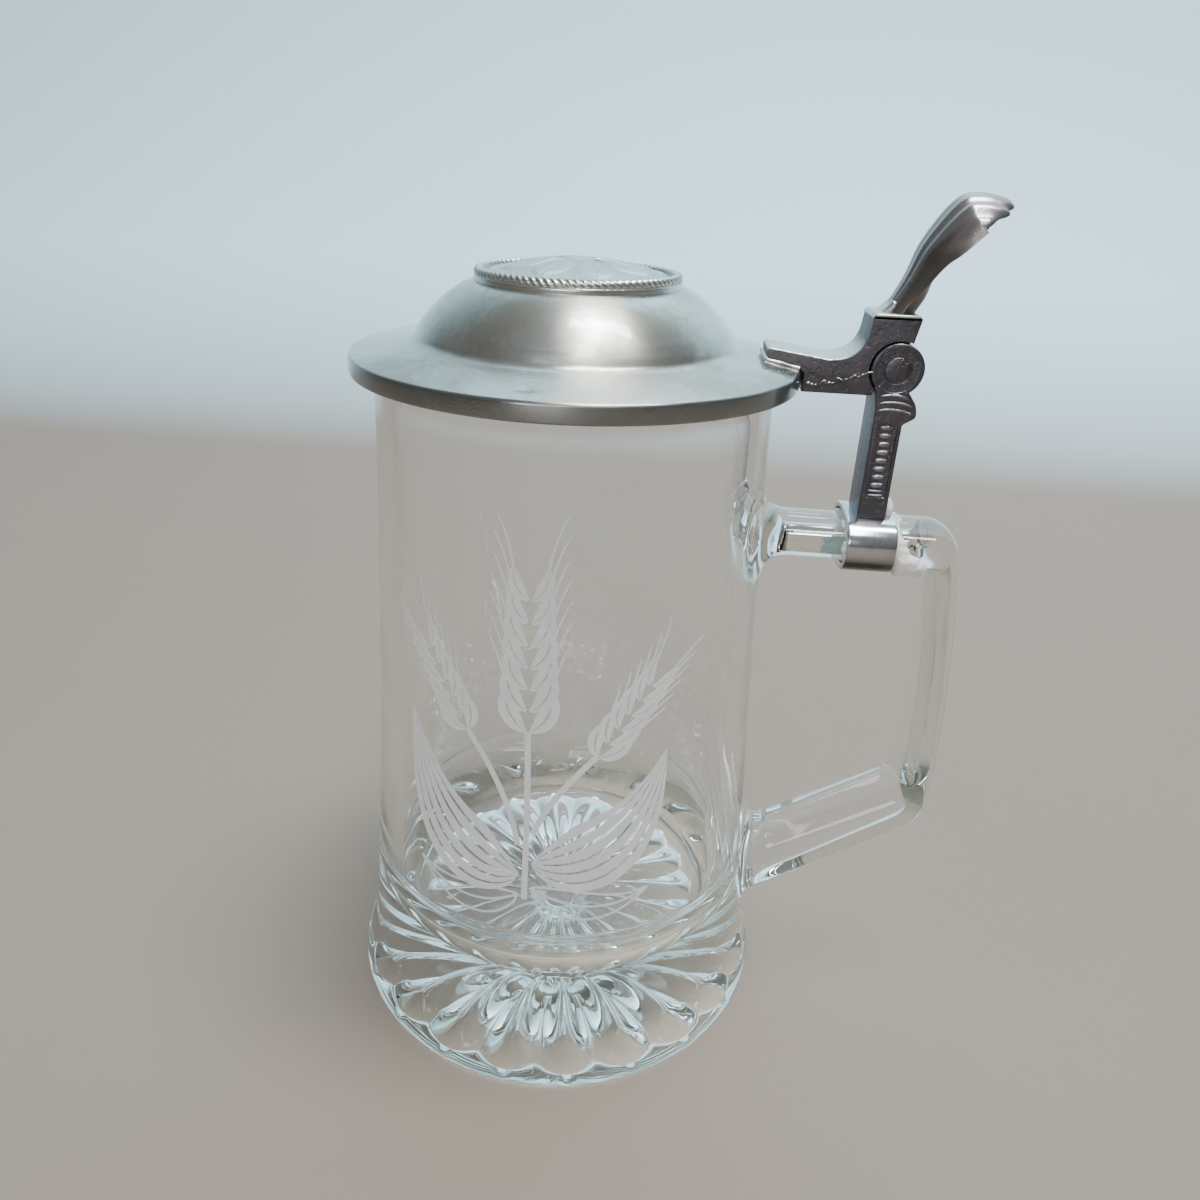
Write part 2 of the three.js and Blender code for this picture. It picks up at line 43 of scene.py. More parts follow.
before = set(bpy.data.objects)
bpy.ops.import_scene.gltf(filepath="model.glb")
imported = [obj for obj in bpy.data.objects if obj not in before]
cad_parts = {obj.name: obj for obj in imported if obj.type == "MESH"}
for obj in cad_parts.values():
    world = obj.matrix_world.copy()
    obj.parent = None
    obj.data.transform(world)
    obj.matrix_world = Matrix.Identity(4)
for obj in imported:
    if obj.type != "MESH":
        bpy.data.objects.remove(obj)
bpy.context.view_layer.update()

MM = 0.001
TAU = 2 * math.pi

# Direction that no swept path follows, to set out its sides from

OFF_PATH = np.array([0.31, 0.83, 0.46])


def node_box(node):
    """Lowest and highest corner of a CAD node, in millimetres."""
    low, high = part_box(node)
    return np.array(low) / MM, np.array(high) / MM


# Places and sizes taken from the frame, in millimetres

GLASS_HIGH = node_box("glass_mug")[1]
LID_LOW, LID_HIGH = node_box("lid_shell")
MEDALLION_LOW, MEDALLION_HIGH = node_box("lid_medallion")
LUG_LOW, LUG_HIGH = node_box("lid_lug")
THUMB_HIGH = node_box("thumblift")[1]
PIN_LOW, PIN_HIGH = node_box("hinge_pin")
SHANK_LOW, SHANK_HIGH = node_box("hinge_shank")
BAND_LOW, BAND_HIGH = node_box("handle_band")
CEMENT_LOW = node_box("band_cement")[0]

MUG_HEIGHT = GLASS_HIGH[2]
FOOT_RADIUS = GLASS_HIGH[1]
LID_RADIUS = LID_HIGH[1]
CROWN_HEIGHT = LID_HIGH[2]
HINGE_X = (PIN_LOW[0] + PIN_HIGH[0]) / 2
HINGE_Z = (PIN_LOW[2] + PIN_HIGH[2]) / 2
HINGE_HALF = PIN_HIGH[1]
PIN_RADIUS = (PIN_HIGH[0] - PIN_LOW[0]) / 2
EAR_RADIUS = SHANK_HIGH[2] - HINGE_Z
ARM_Z = (BAND_LOW[2] + BAND_HIGH[2]) / 2

# Glass body, in millimetres

MOUTH_RADIUS = 39.8  # outside of the wall at the mouth
WAIST_RADIUS = 46.6  # outside of the wall just above the foot
WAIST_HEIGHT = 13.5  # where the foot ends and the wall begins
TAPER_POWER = 1.4  # 1 for a straight cone, more for a wall that draws in low down
FOOT_FLARE = 3.4  # how far the foot stands out past the wall
FOOT_ROUND = 1.6  # round on the foot's lower edge
MOUTH_WALL = 3.8
BASE_WALL = 5.4
FLOOR_HEIGHT = 20.5  # floor inside, above the foot's underside
FLOOR_CORNER = 15.0  # round between the floor and the wall inside
SEAM_BEAD = 0.3  # bead round the inside, just above that round
SEAM_RISE = 1.2
SEAM_WIDTH = 0.4
SEAM_REACH = 3.0  # stretch of wall round the bead with close steps
SEAM_STEP = 0.2
RIM_ROUND = 1.4
BEARING_WIDTH = 4.0  # flat ring that the foot stands on
FLUTE_HUB = 4.0  # plain disc in the middle of the sunburst
FLUTE_EDGE = FOOT_RADIUS - FOOT_ROUND - BEARING_WIDTH
FLUTE_TIP = 3.0  # how far a flute's sides fall short of its round end
FLUTE_LEAN = 0.6  # under 1, so that a flute is deepest nearer the hub
RIDGE_DROP = 0.5  # share of the depth that is lost at the ridges
MUG_SEGMENTS = 300
MOST_BOUNCES = 8  # longer paths of light go straight through the glass
MOST_MIRRORED = 3  # and so do paths with more mirrored turns

# Glass handle, in millimetres

ARM_HALF = 4.0  # half the height of the upper arm
ARM_WIDTH_HALF = 8.0  # half the width of the whole handle
GRIP_OFFSET = 16.1  # from the hinge axis out to the middle of the grip
GRIP_TOP_HALF = 3.3
GRIP_FOOT_HALF = 3.6
GRIP_LEAN = 5.0  # how far the foot of the grip stands out past its top
GRIP_BOW = 1.2  # outward bow of the grip between its corners
GRIP_START = 0.08  # share of the lean where the grip starts
FOOT_CORNER = 57.3  # height of the grip's inner lower corner
LOWER_DROP = 10.1  # outer lower corner below the inner one
LOWER_ROOT_TOP = 40.2  # height where the lower arm meets the wall
LOWER_ROOT_DEPTH = 17.2  # height of the lower arm at the wall
ROOT_FLARE = 3.4  # spread of the handle where it meets the wall
ROOT_REACH = 6.0  # length of that spread
ROOT_BURY = 2.2  # how far the handle runs into the wall
ROOT_STEPS = 12
ROOT_FILLET = 3.6  # round left where the handle meets the wall
OUTER_CORNER = 6.5
INNER_CORNER = 3.5
CORNER_PULL = 0.1  # easing of the upper corners, as a share of their round
SECTION_POWER = 2.6  # 2 for an oval section, more for a squarer one
HANDLE_SIDES = 56
RELAX_SHARE = 0.6  # how far a round draws a point on the seam to its neighbours
RELAX_ROUNDS = 40
SAME_POINT = 0.0002 * MM  # points closer than this are one, in metres

# Sheaf of barley laid out flat, across and up the front of the mug, in millimetres

STALKS = (  # start, pull and end of each curve
    ((0, 49), (0.4, 70), (0, 88)),
    ((-1.5, 62), (-4, 76), (-12.5, 86)),
    ((1.5, 65), (5, 75), (13.5, 83)),
)
STALK_HALF = 0.6
EARS = (  # root, lean in degrees, pairs of grains and size
    ((0, 88), 0, 7, 1.12),
    ((-12.6, 86), -31, 6, 0.86),
    ((13.6, 83), 35, 6, 0.86),
)
GRAIN_PITCH = 4.0
GRAIN_LENGTH = 8.0
GRAIN_LEAN = 3.6
GRAIN_PULL = (2.4, 4.0)  # pull of its curve, along and out
GRAIN_HALF = 1.75
GRAIN_SPLIT = 0.12
GRAIN_SHRINK = 0.05
AWN_LENGTH = 9.0
AWN_LEAN = 3.0
AWN_PULL = (5.0, 0.8)
AWN_TIP = 0.12
VEINED_LEAVES = (
    ((-1.4, 55), (-20, 54), (-27, 86)),
    ((1.4, 58), (21, 56), (28, 82)),
)
VEINED_HALF = 8.6
VEINS = 6
VEIN_CLEAR = 0.04
DRAWN_LEAVES = (
    ((-1.4, 50), (-13, 43), (-25, 51)),
    ((1.4, 52), (14, 44), (26, 50)),
)
DRAWN_HALF = 3.4
LEAF_SWELL = 0.72  # under 1, so that a leaf is widest nearer its root
FROST_TOP = 0.045
FROST_FOOT = 0.012

# Lid, in millimetres

LID_SEAT = MUG_HEIGHT + 0.3  # underside of the lid, over the glass's rim
LID_EDGE_LOW = LID_SEAT - 0.7
LID_EDGE_TOP = LID_SEAT + 3.0
LID_WALL = 1.8
DOME_RADIUS = 32.0
DOME_FOOT = LID_EDGE_TOP + 2.5
DOME_POWER = 1.35  # 2 for a round shoulder, less for a straighter one
CROWN_RADIUS = 20.5  # flat top that carries the medallion
COVE_RISE = 0.75  # where the cove at the foot of the dome ends
FLANGE_INNER = DOME_RADIUS + 2.0  # inner end of the sloping flange
FLANGE_TOP = DOME_FOOT - 0.35
LIP_OUTER = 35.1  # lip that drops inside the glass
LIP_INNER = 33.3
LIP_RISE = 1.2
LIP_ROUND = 0.4
EDGE_ROUND = 0.5
TOP_ROUND = 0.75
RIM_CLEAR = 40.7  # inside of the lid's edge, clear of the glass
KNOCK_BEARING = -96.0  # one dent in the flange, in degrees from the handle
KNOCK_RADIUS = 40.2
KNOCK_DEPTH = 0.22
KNOCK_ACROSS = 0.9
KNOCK_ALONG = 1.5
LID_SEGMENTS = 260

# Medallion: its rope and its rosette, in millimetres

MEDALLION_STEP = 0.7  # plain step under the rope
ROPE_RADIUS = 0.95
STRAND_DEPTH = 0.34  # groove between strands, as a share of the rope's radius
STRAND_SLANT = 2.07  # strands crossed on the way over the rope
STRAND_SEGMENTS = 7
PETALS = 8
PETAL_HEIGHT = 0.34
BOSS_HEIGHT = 0.4
BORDER_HEIGHT = 0.22
FIELD_SINK = 0.4  # dish of the field towards its middle

# Hinge, lug and thumblift, in millimetres

KNUCKLE_HALF = 2.5
SIDE_GAP = 0.2  # between the knuckle and each ear
SWEEP_GAP = 0.4  # round the ears, for the lid to turn
BLOCK_BACK = HINGE_X - 6.2
BLOCK_FRONT = HINGE_X + 3.0
BLOCK_TOP = LUG_HIGH[2]
LUG_ARM_TOP = LID_EDGE_TOP + 2.2
LUG_FOOT_TOP = LID_EDGE_TOP + 3.75
LUG_TIP = LUG_LOW[0]
LUG_BOTTOM = LUG_LOW[2]
LUG_NOSE = 0.9
LUG_FILLET = 6.4  # sweep from the arm up to the block
LUG_EDGE = 0.35
CUT_PAST = 2.0  # how far a cut runs out past the face
ROOM_PAST = 3.0  # and the room for the ears
SOLDER_HALF = HINGE_HALF - 0.05
SOLDER_RADIUS = 0.5
PLINTH_HEIGHT = 0.8
FILLET_HALF = 2.8
LEAF_HEIGHT = THUMB_HIGH[2] - BLOCK_TOP - PLINTH_HEIGHT - 0.02
LEAF_REACH = THUMB_HIGH[0] - HINGE_X
LEAF_RIDGE = (  # shares of the reach and the height
    (-0.055, 0.29),
    (0.085, 0.607),
    (0.372, 0.94),
    (0.64, 1.0),
    (1.0, 0.953),
)
LEAF_FLUTES = 7
LEAF_GROOVE = 0.5
LEAF_NECK_HALF = 4.2
LEAF_HALF = 8.2
LEAF_ROOT = 6.2  # thickness at the neck
LEAF_THIN = 1.6  # thickness towards the tip
LEAF_SIDE = 0.9  # thickness at the sides
NECK_ARCH = 2.5  # drop from the ridge to the sides at the neck
TIP_ARCH = 6.2  # and at the tip
LEAF_ROWS = 72
LEAF_COLUMNS = 57
SHANK_BACK = HINGE_X - 3.0
SHANK_FRONT = HINGE_X + 2.7
SHANK_EDGE = 0.4
BEAK_REACH = SHANK_HIGH[0]  # tip of the shoulder behind the shank
BEAK_Z = HINGE_Z - 8.3
PANEL_LOW = BAND_HIGH[2] + 3.9  # foot of the sunk panel on each side
PANEL_DEPTH = 0.5
BEADS = 8
BEAD_HALVES = (1.5, 0.5, 0.56)
BAR_HALVES = (1.75, 0.45, 0.26)
RIBS = ((3.3, 3.0), (1.9, 4.0), (0.5, 4.2))  # height over the beak, and reach past the hinge axis
RIB_RADIUS = 0.32
RIB_SINK = 0.12
RIB_STEPS = 14

# Strap and cement, in millimetres

STRAP_WALL = 1.25
STRAP_SEGMENTS = 140
CEMENT_GAP = 0.07  # between the glass and the cement
CEMENT_WALL = 0.72  # cement under the strap
CEMENT_SEGMENTS = 180
CEMENT_STEPS = 30

# Air under the glass, so that its underside is seen against the floor and not fused to it

FLOOR_GAP = 0.15

# Camera: degrees, and millimetres from the mug's axis and above the floor

CAMERA_BEARING = 5.5
CAMERA_AWAY = 188.646
CAMERA_HEIGHT = 185.503
CAMERA_YAW = 2.144
CAMERA_PITCH = 25.255
CAMERA_ROLL = 2.681

# Floor and wall, in metres

FLOOR_FRONT = -1.6
FLOOR_BACK = 0.5
FLOOR_HALF = 2.0
WALL_ROUND = 0.4
WALL_TOP = 2.0

# Depth over which the floor's colour turns to the wall's, in millimetres

BLEND_START = 420.0
BLEND_END = 760.0

# Lights: place in metres, turn in degrees, width and length in metres, and the setting for their power

LIGHTS = (
    ("overhead_panel", (0.2, -0.4, 1.45), (0, 0, 0), (0.24, 1.1), "panel_power"),
    ("backdrop_light", (0.35, 0.0, 1.9), (50, 0, 0), (0.9, 0.5), "fill_power"),
    ("front_light", (-0.2, -1.1, 0.45), (72, 0, -10.3), (0.5, 0.35), "front_power"),
)


# Curves and outlines

def lerp(start, end, share):
    """Straight mix of two values."""
    return start + (end - start) * share


def smooth(value, low, high):
    """Share of the way from low to high, eased at both ends."""
    share = np.clip((value - low) / (high - low), 0, 1)
    return share * share * (3 - 2 * share)


def line(start, end, steps):
    """Even points on a straight line."""
    share = np.linspace(0, 1, steps + 1)[:, None]
    return np.array(start) * (1 - share) + np.array(end) * share


def bend(start, control, end, steps):
    """Quadratic curve: start and end pulled towards one control point."""
    share = np.linspace(0, 1, steps + 1)[:, None]
    first = np.array(start) * (1 - share) ** 2
    second = np.array(control) * 2 * share * (1 - share)
    return first + second + np.array(end) * share ** 2


def arc(centre, radius, start, end, steps):
    """Circular arc between two angles in degrees."""
    angle = np.radians(np.linspace(start, end, steps + 1))
    turned = np.stack([np.cos(angle), np.sin(angle)], axis=1)
    return np.array(centre) + radius * turned


def chain(*parts):
    """Join stretches of a path, dropping points that repeat at the joints."""
    points = np.vstack(parts)
    step = np.linalg.norm(np.diff(points, axis=0), axis=1)
    return points[np.concatenate([[True], step > 1e-6])]


def rounded(points, radii, steps=5):
    """Closed outline whose corners are cut back by their radius and bridged by a quadratic curve."""
    points = np.array(points, dtype=float)
    parts = []
    for index, corner in enumerate(points):
        before = points[index - 1] - corner
        after = points[(index + 1) % len(points)] - corner
        cut = radii[index]
        if cut <= 0:
            parts.append(corner[None, :])
            continue
        start = corner + before / np.linalg.norm(before) * cut
        end = corner + after / np.linalg.norm(after) * cut
        parts.append(bend(start, corner, end, steps))
    return np.vstack(parts)


def oval(angle, half_width, half_height, power):
    """Superellipse: signed powers of cosine and sine, 2 for an ellipse and more for a squarer shape."""
    cosine, sine = np.cos(angle), np.sin(angle)
    share = 2 / power
    across = np.sign(cosine) * np.abs(cosine) ** share
    upright = np.sign(sine) * np.abs(sine) ** share
    return np.stack([half_width * across, half_height * upright], axis=-1)


def outward(loop):
    """Unit normals of a closed loop that runs anticlockwise: its tangent turned clockwise."""
    tangent = np.roll(loop, -1, axis=0) - np.roll(loop, 1, axis=0)
    normal = np.stack([tangent[:, 1], -tangent[:, 0]], axis=1)
    return normal / np.linalg.norm(normal, axis=1, keepdims=True)


def through(points, steps):
    """Smooth curve through points: Catmull-Rom spans with the end points carried on."""
    points = np.array(points, dtype=float)
    padded = np.vstack([2 * points[0] - points[1], points, 2 * points[-1] - points[-2]])
    share = np.linspace(0, 1, steps, endpoint=False)[:, None]
    spans = []
    for a, b, c, d in zip(padded, padded[1:], padded[2:], padded[3:]):
        cubic = (2 * a - 5 * b + 4 * c - d) * share ** 2 + (3 * b - a - 3 * c + d) * share ** 3
        spans.append(0.5 * (2 * b + (c - a) * share + cubic))
    return np.vstack(spans + [points[-1:]])


# Surfaces: vertices in millimetres and lists of faces

def grid_faces(rows, columns, close_rows=False, close_columns=False):
    """Four-cornered faces of a grid, closed round on itself where asked."""
    row = np.arange(rows if close_rows else rows - 1)
    column = np.arange(columns if close_columns else columns - 1)
    here, side = np.meshgrid(row, column, indexing="ij")
    ahead, beyond = (here + 1) % rows, (side + 1) % columns
    corners = [(here, side), (here, beyond), (ahead, beyond), (ahead, side)]
    return np.stack([a * columns + b for a, b in corners], axis=-1).reshape(-1, 4).tolist()


def tube(points):
    """Closed tube from rows of rings, with a flat cap on both ends."""
    rows, columns = points.shape[:2]
    faces = grid_faces(rows, columns, close_columns=True)
    faces.append(list(range(columns))[::-1])
    faces.append(list(range((rows - 1) * columns, rows * columns)))
    return points.reshape(-1, 3), faces


def ring(points):
    """Closed loop of closed rings."""
    rows, columns = points.shape[:2]
    return points.reshape(-1, 3), grid_faces(rows, columns, close_rows=True, close_columns=True)


def lathe(profile, segments, press=None):
    """Profile of radius and height carried round Z from axis to axis; press may shift its points."""
    angle = TAU * np.arange(segments) / segments
    radius = np.repeat(profile[1:-1, :1], segments, axis=1)
    height = np.repeat(profile[1:-1, 1:], segments, axis=1)
    if press:
        radius, height = press(radius, height, angle[None, :])
    rings = np.stack([radius * np.cos(angle), radius * np.sin(angle), height], axis=-1)
    rows = len(rings)
    poles = np.array([[0, 0, profile[0, 1]], [0, 0, profile[-1, 1]]])
    vertices = np.vstack([rings.reshape(-1, 3), poles])
    faces = grid_faces(rows, segments, close_columns=True)
    here = np.arange(segments)
    beyond = (here + 1) % segments
    first, last = rows * segments, rows * segments + 1
    top = (rows - 1) * segments
    faces += np.stack([np.full(segments, first), beyond, here], axis=1).tolist()
    faces += np.stack([np.full(segments, last), top + here, top + beyond], axis=1).tolist()
    return vertices, faces


def slab(outline, low, high, edge, steps=4):
    """Outline in X and Z given a depth along Y, its rims rolled over by a quarter circle."""
    sides = np.roll(outline, -1, axis=0) - outline
    area = np.sum(outline[:, 0] * sides[:, 1] - outline[:, 1] * sides[:, 0])
    if area < 0:
        outline = outline[::-1]
        sides = np.roll(outline, -1, axis=0) - outline
    sides = sides / np.linalg.norm(sides, axis=1, keepdims=True)
    normal = np.stack([sides[:, 1], -sides[:, 0]], axis=1)
    before = np.roll(normal, 1, axis=0)
    turn = np.clip(1 + np.sum(normal * before, axis=1, keepdims=True), 0.5, 2)
    mitre = (normal + before) / turn
    angle = np.linspace(0, math.pi / 2, steps + 1)
    inset = edge * np.concatenate([1 - np.sin(angle), 1 - np.sin(angle[::-1])])
    depth = np.concatenate([low + edge * (1 - np.cos(angle)), high - edge * (1 - np.cos(angle[::-1]))])
    flat = outline[None] - mitre[None] * inset[:, None, None]
    rings = np.stack([flat[..., 0], np.repeat(depth[:, None], len(outline), axis=1), flat[..., 1]], axis=-1)
    return tube(rings)


def swept(path, radius, sides=10):
    """Round tube along a path in space, its radius given point by point."""
    tangent = np.gradient(path, axis=0)
    tangent /= np.linalg.norm(tangent, axis=1, keepdims=True)
    across = np.cross(tangent, OFF_PATH)
    across /= np.linalg.norm(across, axis=1, keepdims=True)
    other = np.cross(tangent, across)
    angle = TAU * np.arange(sides) / sides
    spread = across[:, None] * np.cos(angle)[None, :, None] + other[:, None] * np.sin(angle)[None, :, None]
    return tube(path[:, None] + spread * np.broadcast_to(radius, len(path))[:, None, None])


def lump(centre, halves, rows=10, columns=16):
    """Ellipsoid: latitude and longitude grid with poles, stretched along each axis."""
    angle = np.linspace(-math.pi / 2, math.pi / 2, rows + 1)
    profile = np.stack([np.cos(angle), np.sin(angle)], axis=1)
    vertices, faces = lathe(profile, columns)
    return vertices * np.array(halves) + np.array(centre), faces


def across_hinge(surface):
    """Turn a lathe about Z into one about the hinge axis: its height becomes Y."""
    vertices, faces = surface
    turned = np.stack([vertices[:, 1] + HINGE_X, vertices[:, 2], vertices[:, 0] + HINGE_Z], axis=1)
    return turned, faces


def joined(*surfaces):
    """Several closed surfaces as one."""
    vertices, faces, start = [], [], 0
    for points, sides in surfaces:
        vertices.append(points)
        faces += [[index + start for index in side] for side in sides]
        start += len(points)
    return np.vstack(vertices), faces


# Meshes

def make_mesh(name, surface):
    """Put a surface into a mesh, in metres, with its faces turned outwards."""
    vertices, faces = surface
    mesh = bpy.data.meshes.new(name)
    mesh.from_pydata((np.asarray(vertices) * MM).tolist(), [], faces)
    work = bmesh.new()
    work.from_mesh(mesh)
    bmesh.ops.recalc_face_normals(work, faces=work.faces)
    work.to_mesh(mesh)
    work.free()
    return mesh


def mesh_points(mesh):
    """Vertices of a mesh as an array, in metres."""
    points = np.empty(len(mesh.vertices) * 3, dtype=np.float32)
    mesh.vertices.foreach_get("co", points)
    return points.reshape(-1, 3)


def fuse(name, base, *steps):
    """Join or cut closed surfaces exactly, one after another, into one mesh."""
    main = bpy.data.objects.new(name, make_mesh(name, base))
    bpy.context.collection.objects.link(main)
    for operation, surface in steps:
        tool = bpy.data.objects.new(name + "_tool", make_mesh(name + "_tool", surface))
        bpy.context.collection.objects.link(tool)
        change = main.modifiers.new("change", "BOOLEAN")
        change.operation = operation
        change.solver = "EXACT"
        change.object = tool
        bpy.context.view_layer.update()
        result = bpy.data.meshes.new_from_object(main.evaluated_get(bpy.context.evaluated_depsgraph_get()))
        main.modifiers.clear()
        spare = main.data
        main.data = result
        bpy.data.meshes.remove(spare)
        bpy.data.meshes.remove(tool.data)
    mesh = main.data
    bpy.data.objects.remove(main)
    if not len(mesh.polygons):
        raise RuntimeError(name + " came out empty")
    return mesh


def relax(mesh, share, rounds):
    """Move each vertex towards the mean of its neighbours, by its own share, a number of times."""
    points = mesh_points(mesh).astype(float)
    edges = np.empty(len(mesh.edges) * 2, dtype=np.int64)
    mesh.edges.foreach_get("vertices", edges)
    start, end = edges.reshape(-1, 2).T
    degree = np.bincount(edges, minlength=len(points))[:, None]
    for _ in range(rounds):
        total = np.zeros_like(points)
        np.add.at(total, start, points[end])
        np.add.at(total, end, points[start])
        points += share[:, None] * (total / degree - points)
    mesh.vertices.foreach_set("co", points.astype(np.float32).ravel())
    mesh.update()


def paint(mesh, name, values):
    """Keep a value at each vertex as a named attribute for the material."""
    layer = mesh.attributes.new(name, "FLOAT", "POINT")
    layer.data.foreach_set("value", np.asarray(values, dtype=np.float32).ravel())


def add_piece(name, shape, material, body, replaces=(), sharp=None, relief=None):
    """Make a shaded piece of a surface or mesh, hang it on the body that carries it, and hide the CAD parts
    that it stands for.

    A relief gives each vertex a height that its material reads, painting it darker where it is low, as
    painted shade.
    """
    mesh = shape if isinstance(shape, bpy.types.Mesh) else make_mesh(name, shape)
    mesh.name = name
    if relief is not None:
        paint(mesh, "relief", relief)
    mesh.materials.clear()
    mesh.materials.append(material)
    mesh.polygons.foreach_set("use_smooth", np.ones(len(mesh.polygons), dtype=bool))
    if sharp:
        mesh.set_sharp_from_angle(angle=math.radians(sharp))
    mesh.update()
    piece = bpy.data.objects.new(name, mesh)
    bpy.context.collection.objects.link(piece)
    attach(piece, body)
    if replaces:
        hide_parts(*replaces)
    return piece


# Shader nodes

def feed(tree, socket, value):
    """Link a socket to another node's output, or set it; a colour of three numbers gets full alpha."""
    if isinstance(value, bpy.types.NodeSocket):
        tree.links.new(value, socket)
    elif socket.type == "RGBA":
        socket.default_value = (*value, 1.0)
    else:
        socket.default_value = value


def wire(tree, made, inputs):
    """Set or link several inputs of a node."""
    for key, value in inputs.items():
        feed(tree, made.inputs[key], value)


def node(tree, kind, inputs=None, **options):
    """Add a shader node, set its options, and set or link its inputs."""
    made = tree.nodes.new("ShaderNode" + kind)
    for key, value in options.items():
        setattr(made, key, value)
    wire(tree, made, inputs or {})
    return made


def maths(tree, operation, *values):
    """One sum on two or three values."""
    return node(tree, "Math", dict(enumerate(values)), operation=operation).outputs[0]


def ramped(tree, value, low, high, start=0.0, end=1.0):
    """Value stretched from one span to another and held at its ends."""
    spans = {"Value": value, "From Min": low, "From Max": high, "To Min": start, "To Max": end}
    return node(tree, "MapRange", spans).outputs["Result"]


def mixed(tree, share, first, second):
    """Colour between two colours, by a mask."""
    return node(tree, "Mix", {0: share, 6: first, 7: second}, data_type="RGBA").outputs[2]


def noise(tree, place, scale, detail, rough=0.5):
    """Cloudy noise, from 0 to 1."""
    inputs = {"Vector": place, "Scale": scale, "Detail": detail, "Roughness": rough}
    return node(tree, "TexNoise", inputs).outputs["Fac"]


def dimmed(colour, share):
    """Colour with each channel at a share of its strength."""
    return tuple(share * channel for channel in colour)


# Effects that several materials share, each a node group built once

def tarnish_effect(tree, place, scale, cover):
    """Soft clouds of tarnish broken up by fine specks: two noises of different scale, added and stretched."""
    cloud = noise(tree, place, scale, 4.0)
    speck = noise(tree, place, maths(tree, "MULTIPLY", scale, 14.0), 3.0)
    broken = maths(tree, "MULTIPLY_ADD", speck, 0.22, cloud)
    low = maths(tree, "SUBTRACT", 0.78, cover)
    return [ramped(tree, broken, low, maths(tree, "ADD", low, 0.2))]


def scratch_effect(tree, place, scale):
    """Fine straight scratches: noise drawn out along two turned directions, cut to its thin peaks."""
    masks = []
    for turn in (0.5, -0.9):
        drawn = {"Vector": place, "Rotation": (0.3, 0.2, turn), "Scale": (0.05, 1.0, 0.6)}
        streak = noise(tree, node(tree, "Mapping", drawn).outputs[0], scale, 2.0)
        masks.append(ramped(tree, streak, 0.7, 0.76))
    return [maths(tree, "MAXIMUM", *masks)]


def skin_effect(tree, place, scale):
    """Rough cast skin: a coarse noise, raised where the dips of a finer one leave no pit."""
    coarse = noise(tree, place, scale, 6.0, 0.62)
    pit = noise(tree, place, maths(tree, "MULTIPLY", scale, 2.3), 2.0)
    raised = ramped(tree, pit, 0.36, 0.44)
    return [maths(tree, "MULTIPLY_ADD", raised, 0.35, coarse), raised]


EFFECTS = {
    "Tarnish": (tarnish_effect, ("Vector", "Scale", "Cover"), ("Mask",)),
    "Scratches": (scratch_effect, ("Vector", "Scale"), ("Mask",)),
    "Cast skin": (skin_effect, ("Vector", "Scale"), ("Height", "Raised")),
}


def effect_group(name):
    """Node group of an effect, with named sockets, filled the first time that it is asked for."""
    tree = bpy.data.node_groups.get(name)
    if tree:
        return tree
    tree = bpy.data.node_groups.new(name, "ShaderNodeTree")
    fill, inputs, outputs = EFFECTS[name]
    for side, labels in (("INPUT", inputs), ("OUTPUT", outputs)):
        for label in labels:
            kind = "NodeSocketVector" if label == "Vector" else "NodeSocketFloat"
            tree.interface.new_socket(name=label, in_out=side, socket_type=kind)
    start, end = tree.nodes.new("NodeGroupInput"), tree.nodes.new("NodeGroupOutput")
    made = fill(tree, *[start.outputs[label] for label in inputs])
    wire(tree, end, dict(zip(outputs, made)))
    return tree


def effect(tree, name, *values):
    """Place an effect in a material with its own values; gives its outputs."""
    made = node(tree, "Group", node_tree=effect_group(name))
    wire(tree, made, dict(enumerate(values)))
    return made.outputs


def tarnished(tree, place, scale, cover, strength, clean, stain):
    """Clean colour stained by the tarnish mask, up to a strength; gives the colour and the mask."""
    mask = effect(tree, "Tarnish", place, scale, cover)["Mask"]
    return mixed(tree, maths(tree, "MULTIPLY", mask, strength), clean, stain), mask


# Materials, on Object coordinates in millimetres

def new_material(name):
    """Empty node material; gives it with its tree, its shader and the place on the piece."""
    material = bpy.data.materials.new(name)
    material.use_nodes = True
    tree = material.node_tree
    place = node(tree, "TexCoord").outputs["Object"]
    scaled = node(tree, "Mapping", {"Vector": place, "Scale": (1 / MM, 1 / MM, 1 / MM)})
    return material, tree, tree.nodes["Principled BSDF"], scaled.outputs[0]


def bump(tree, shader, height, strength, distance):
    """Raise the surface by a height, in millimetres."""
    made = node(tree, "Bump", {"Height": height, "Strength": strength, "Distance": distance * MM})
    wire(tree, shader, {"Normal": made.outputs[0]})


def facing_up(tree):
    """Upward share of the surface's normal, from -1 to 1."""
    return node(tree, "SeparateXYZ", {0: node(tree, "TexCoord").outputs["Normal"]}).outputs[2]


def flattened(tree, place):
    """Place laid flat on the floor, so that its length is the distance from the mug's axis."""
    parts = node(tree, "SeparateXYZ", {0: place}).outputs
    return node(tree, "CombineXYZ", {0: parts[0], 1: parts[1], 2: 0.0}).outputs[0]


def length_of(tree, vector):
    """Length of a vector."""
    return node(tree, "VectorMath", {0: vector}, operation="LENGTH").outputs["Value"]


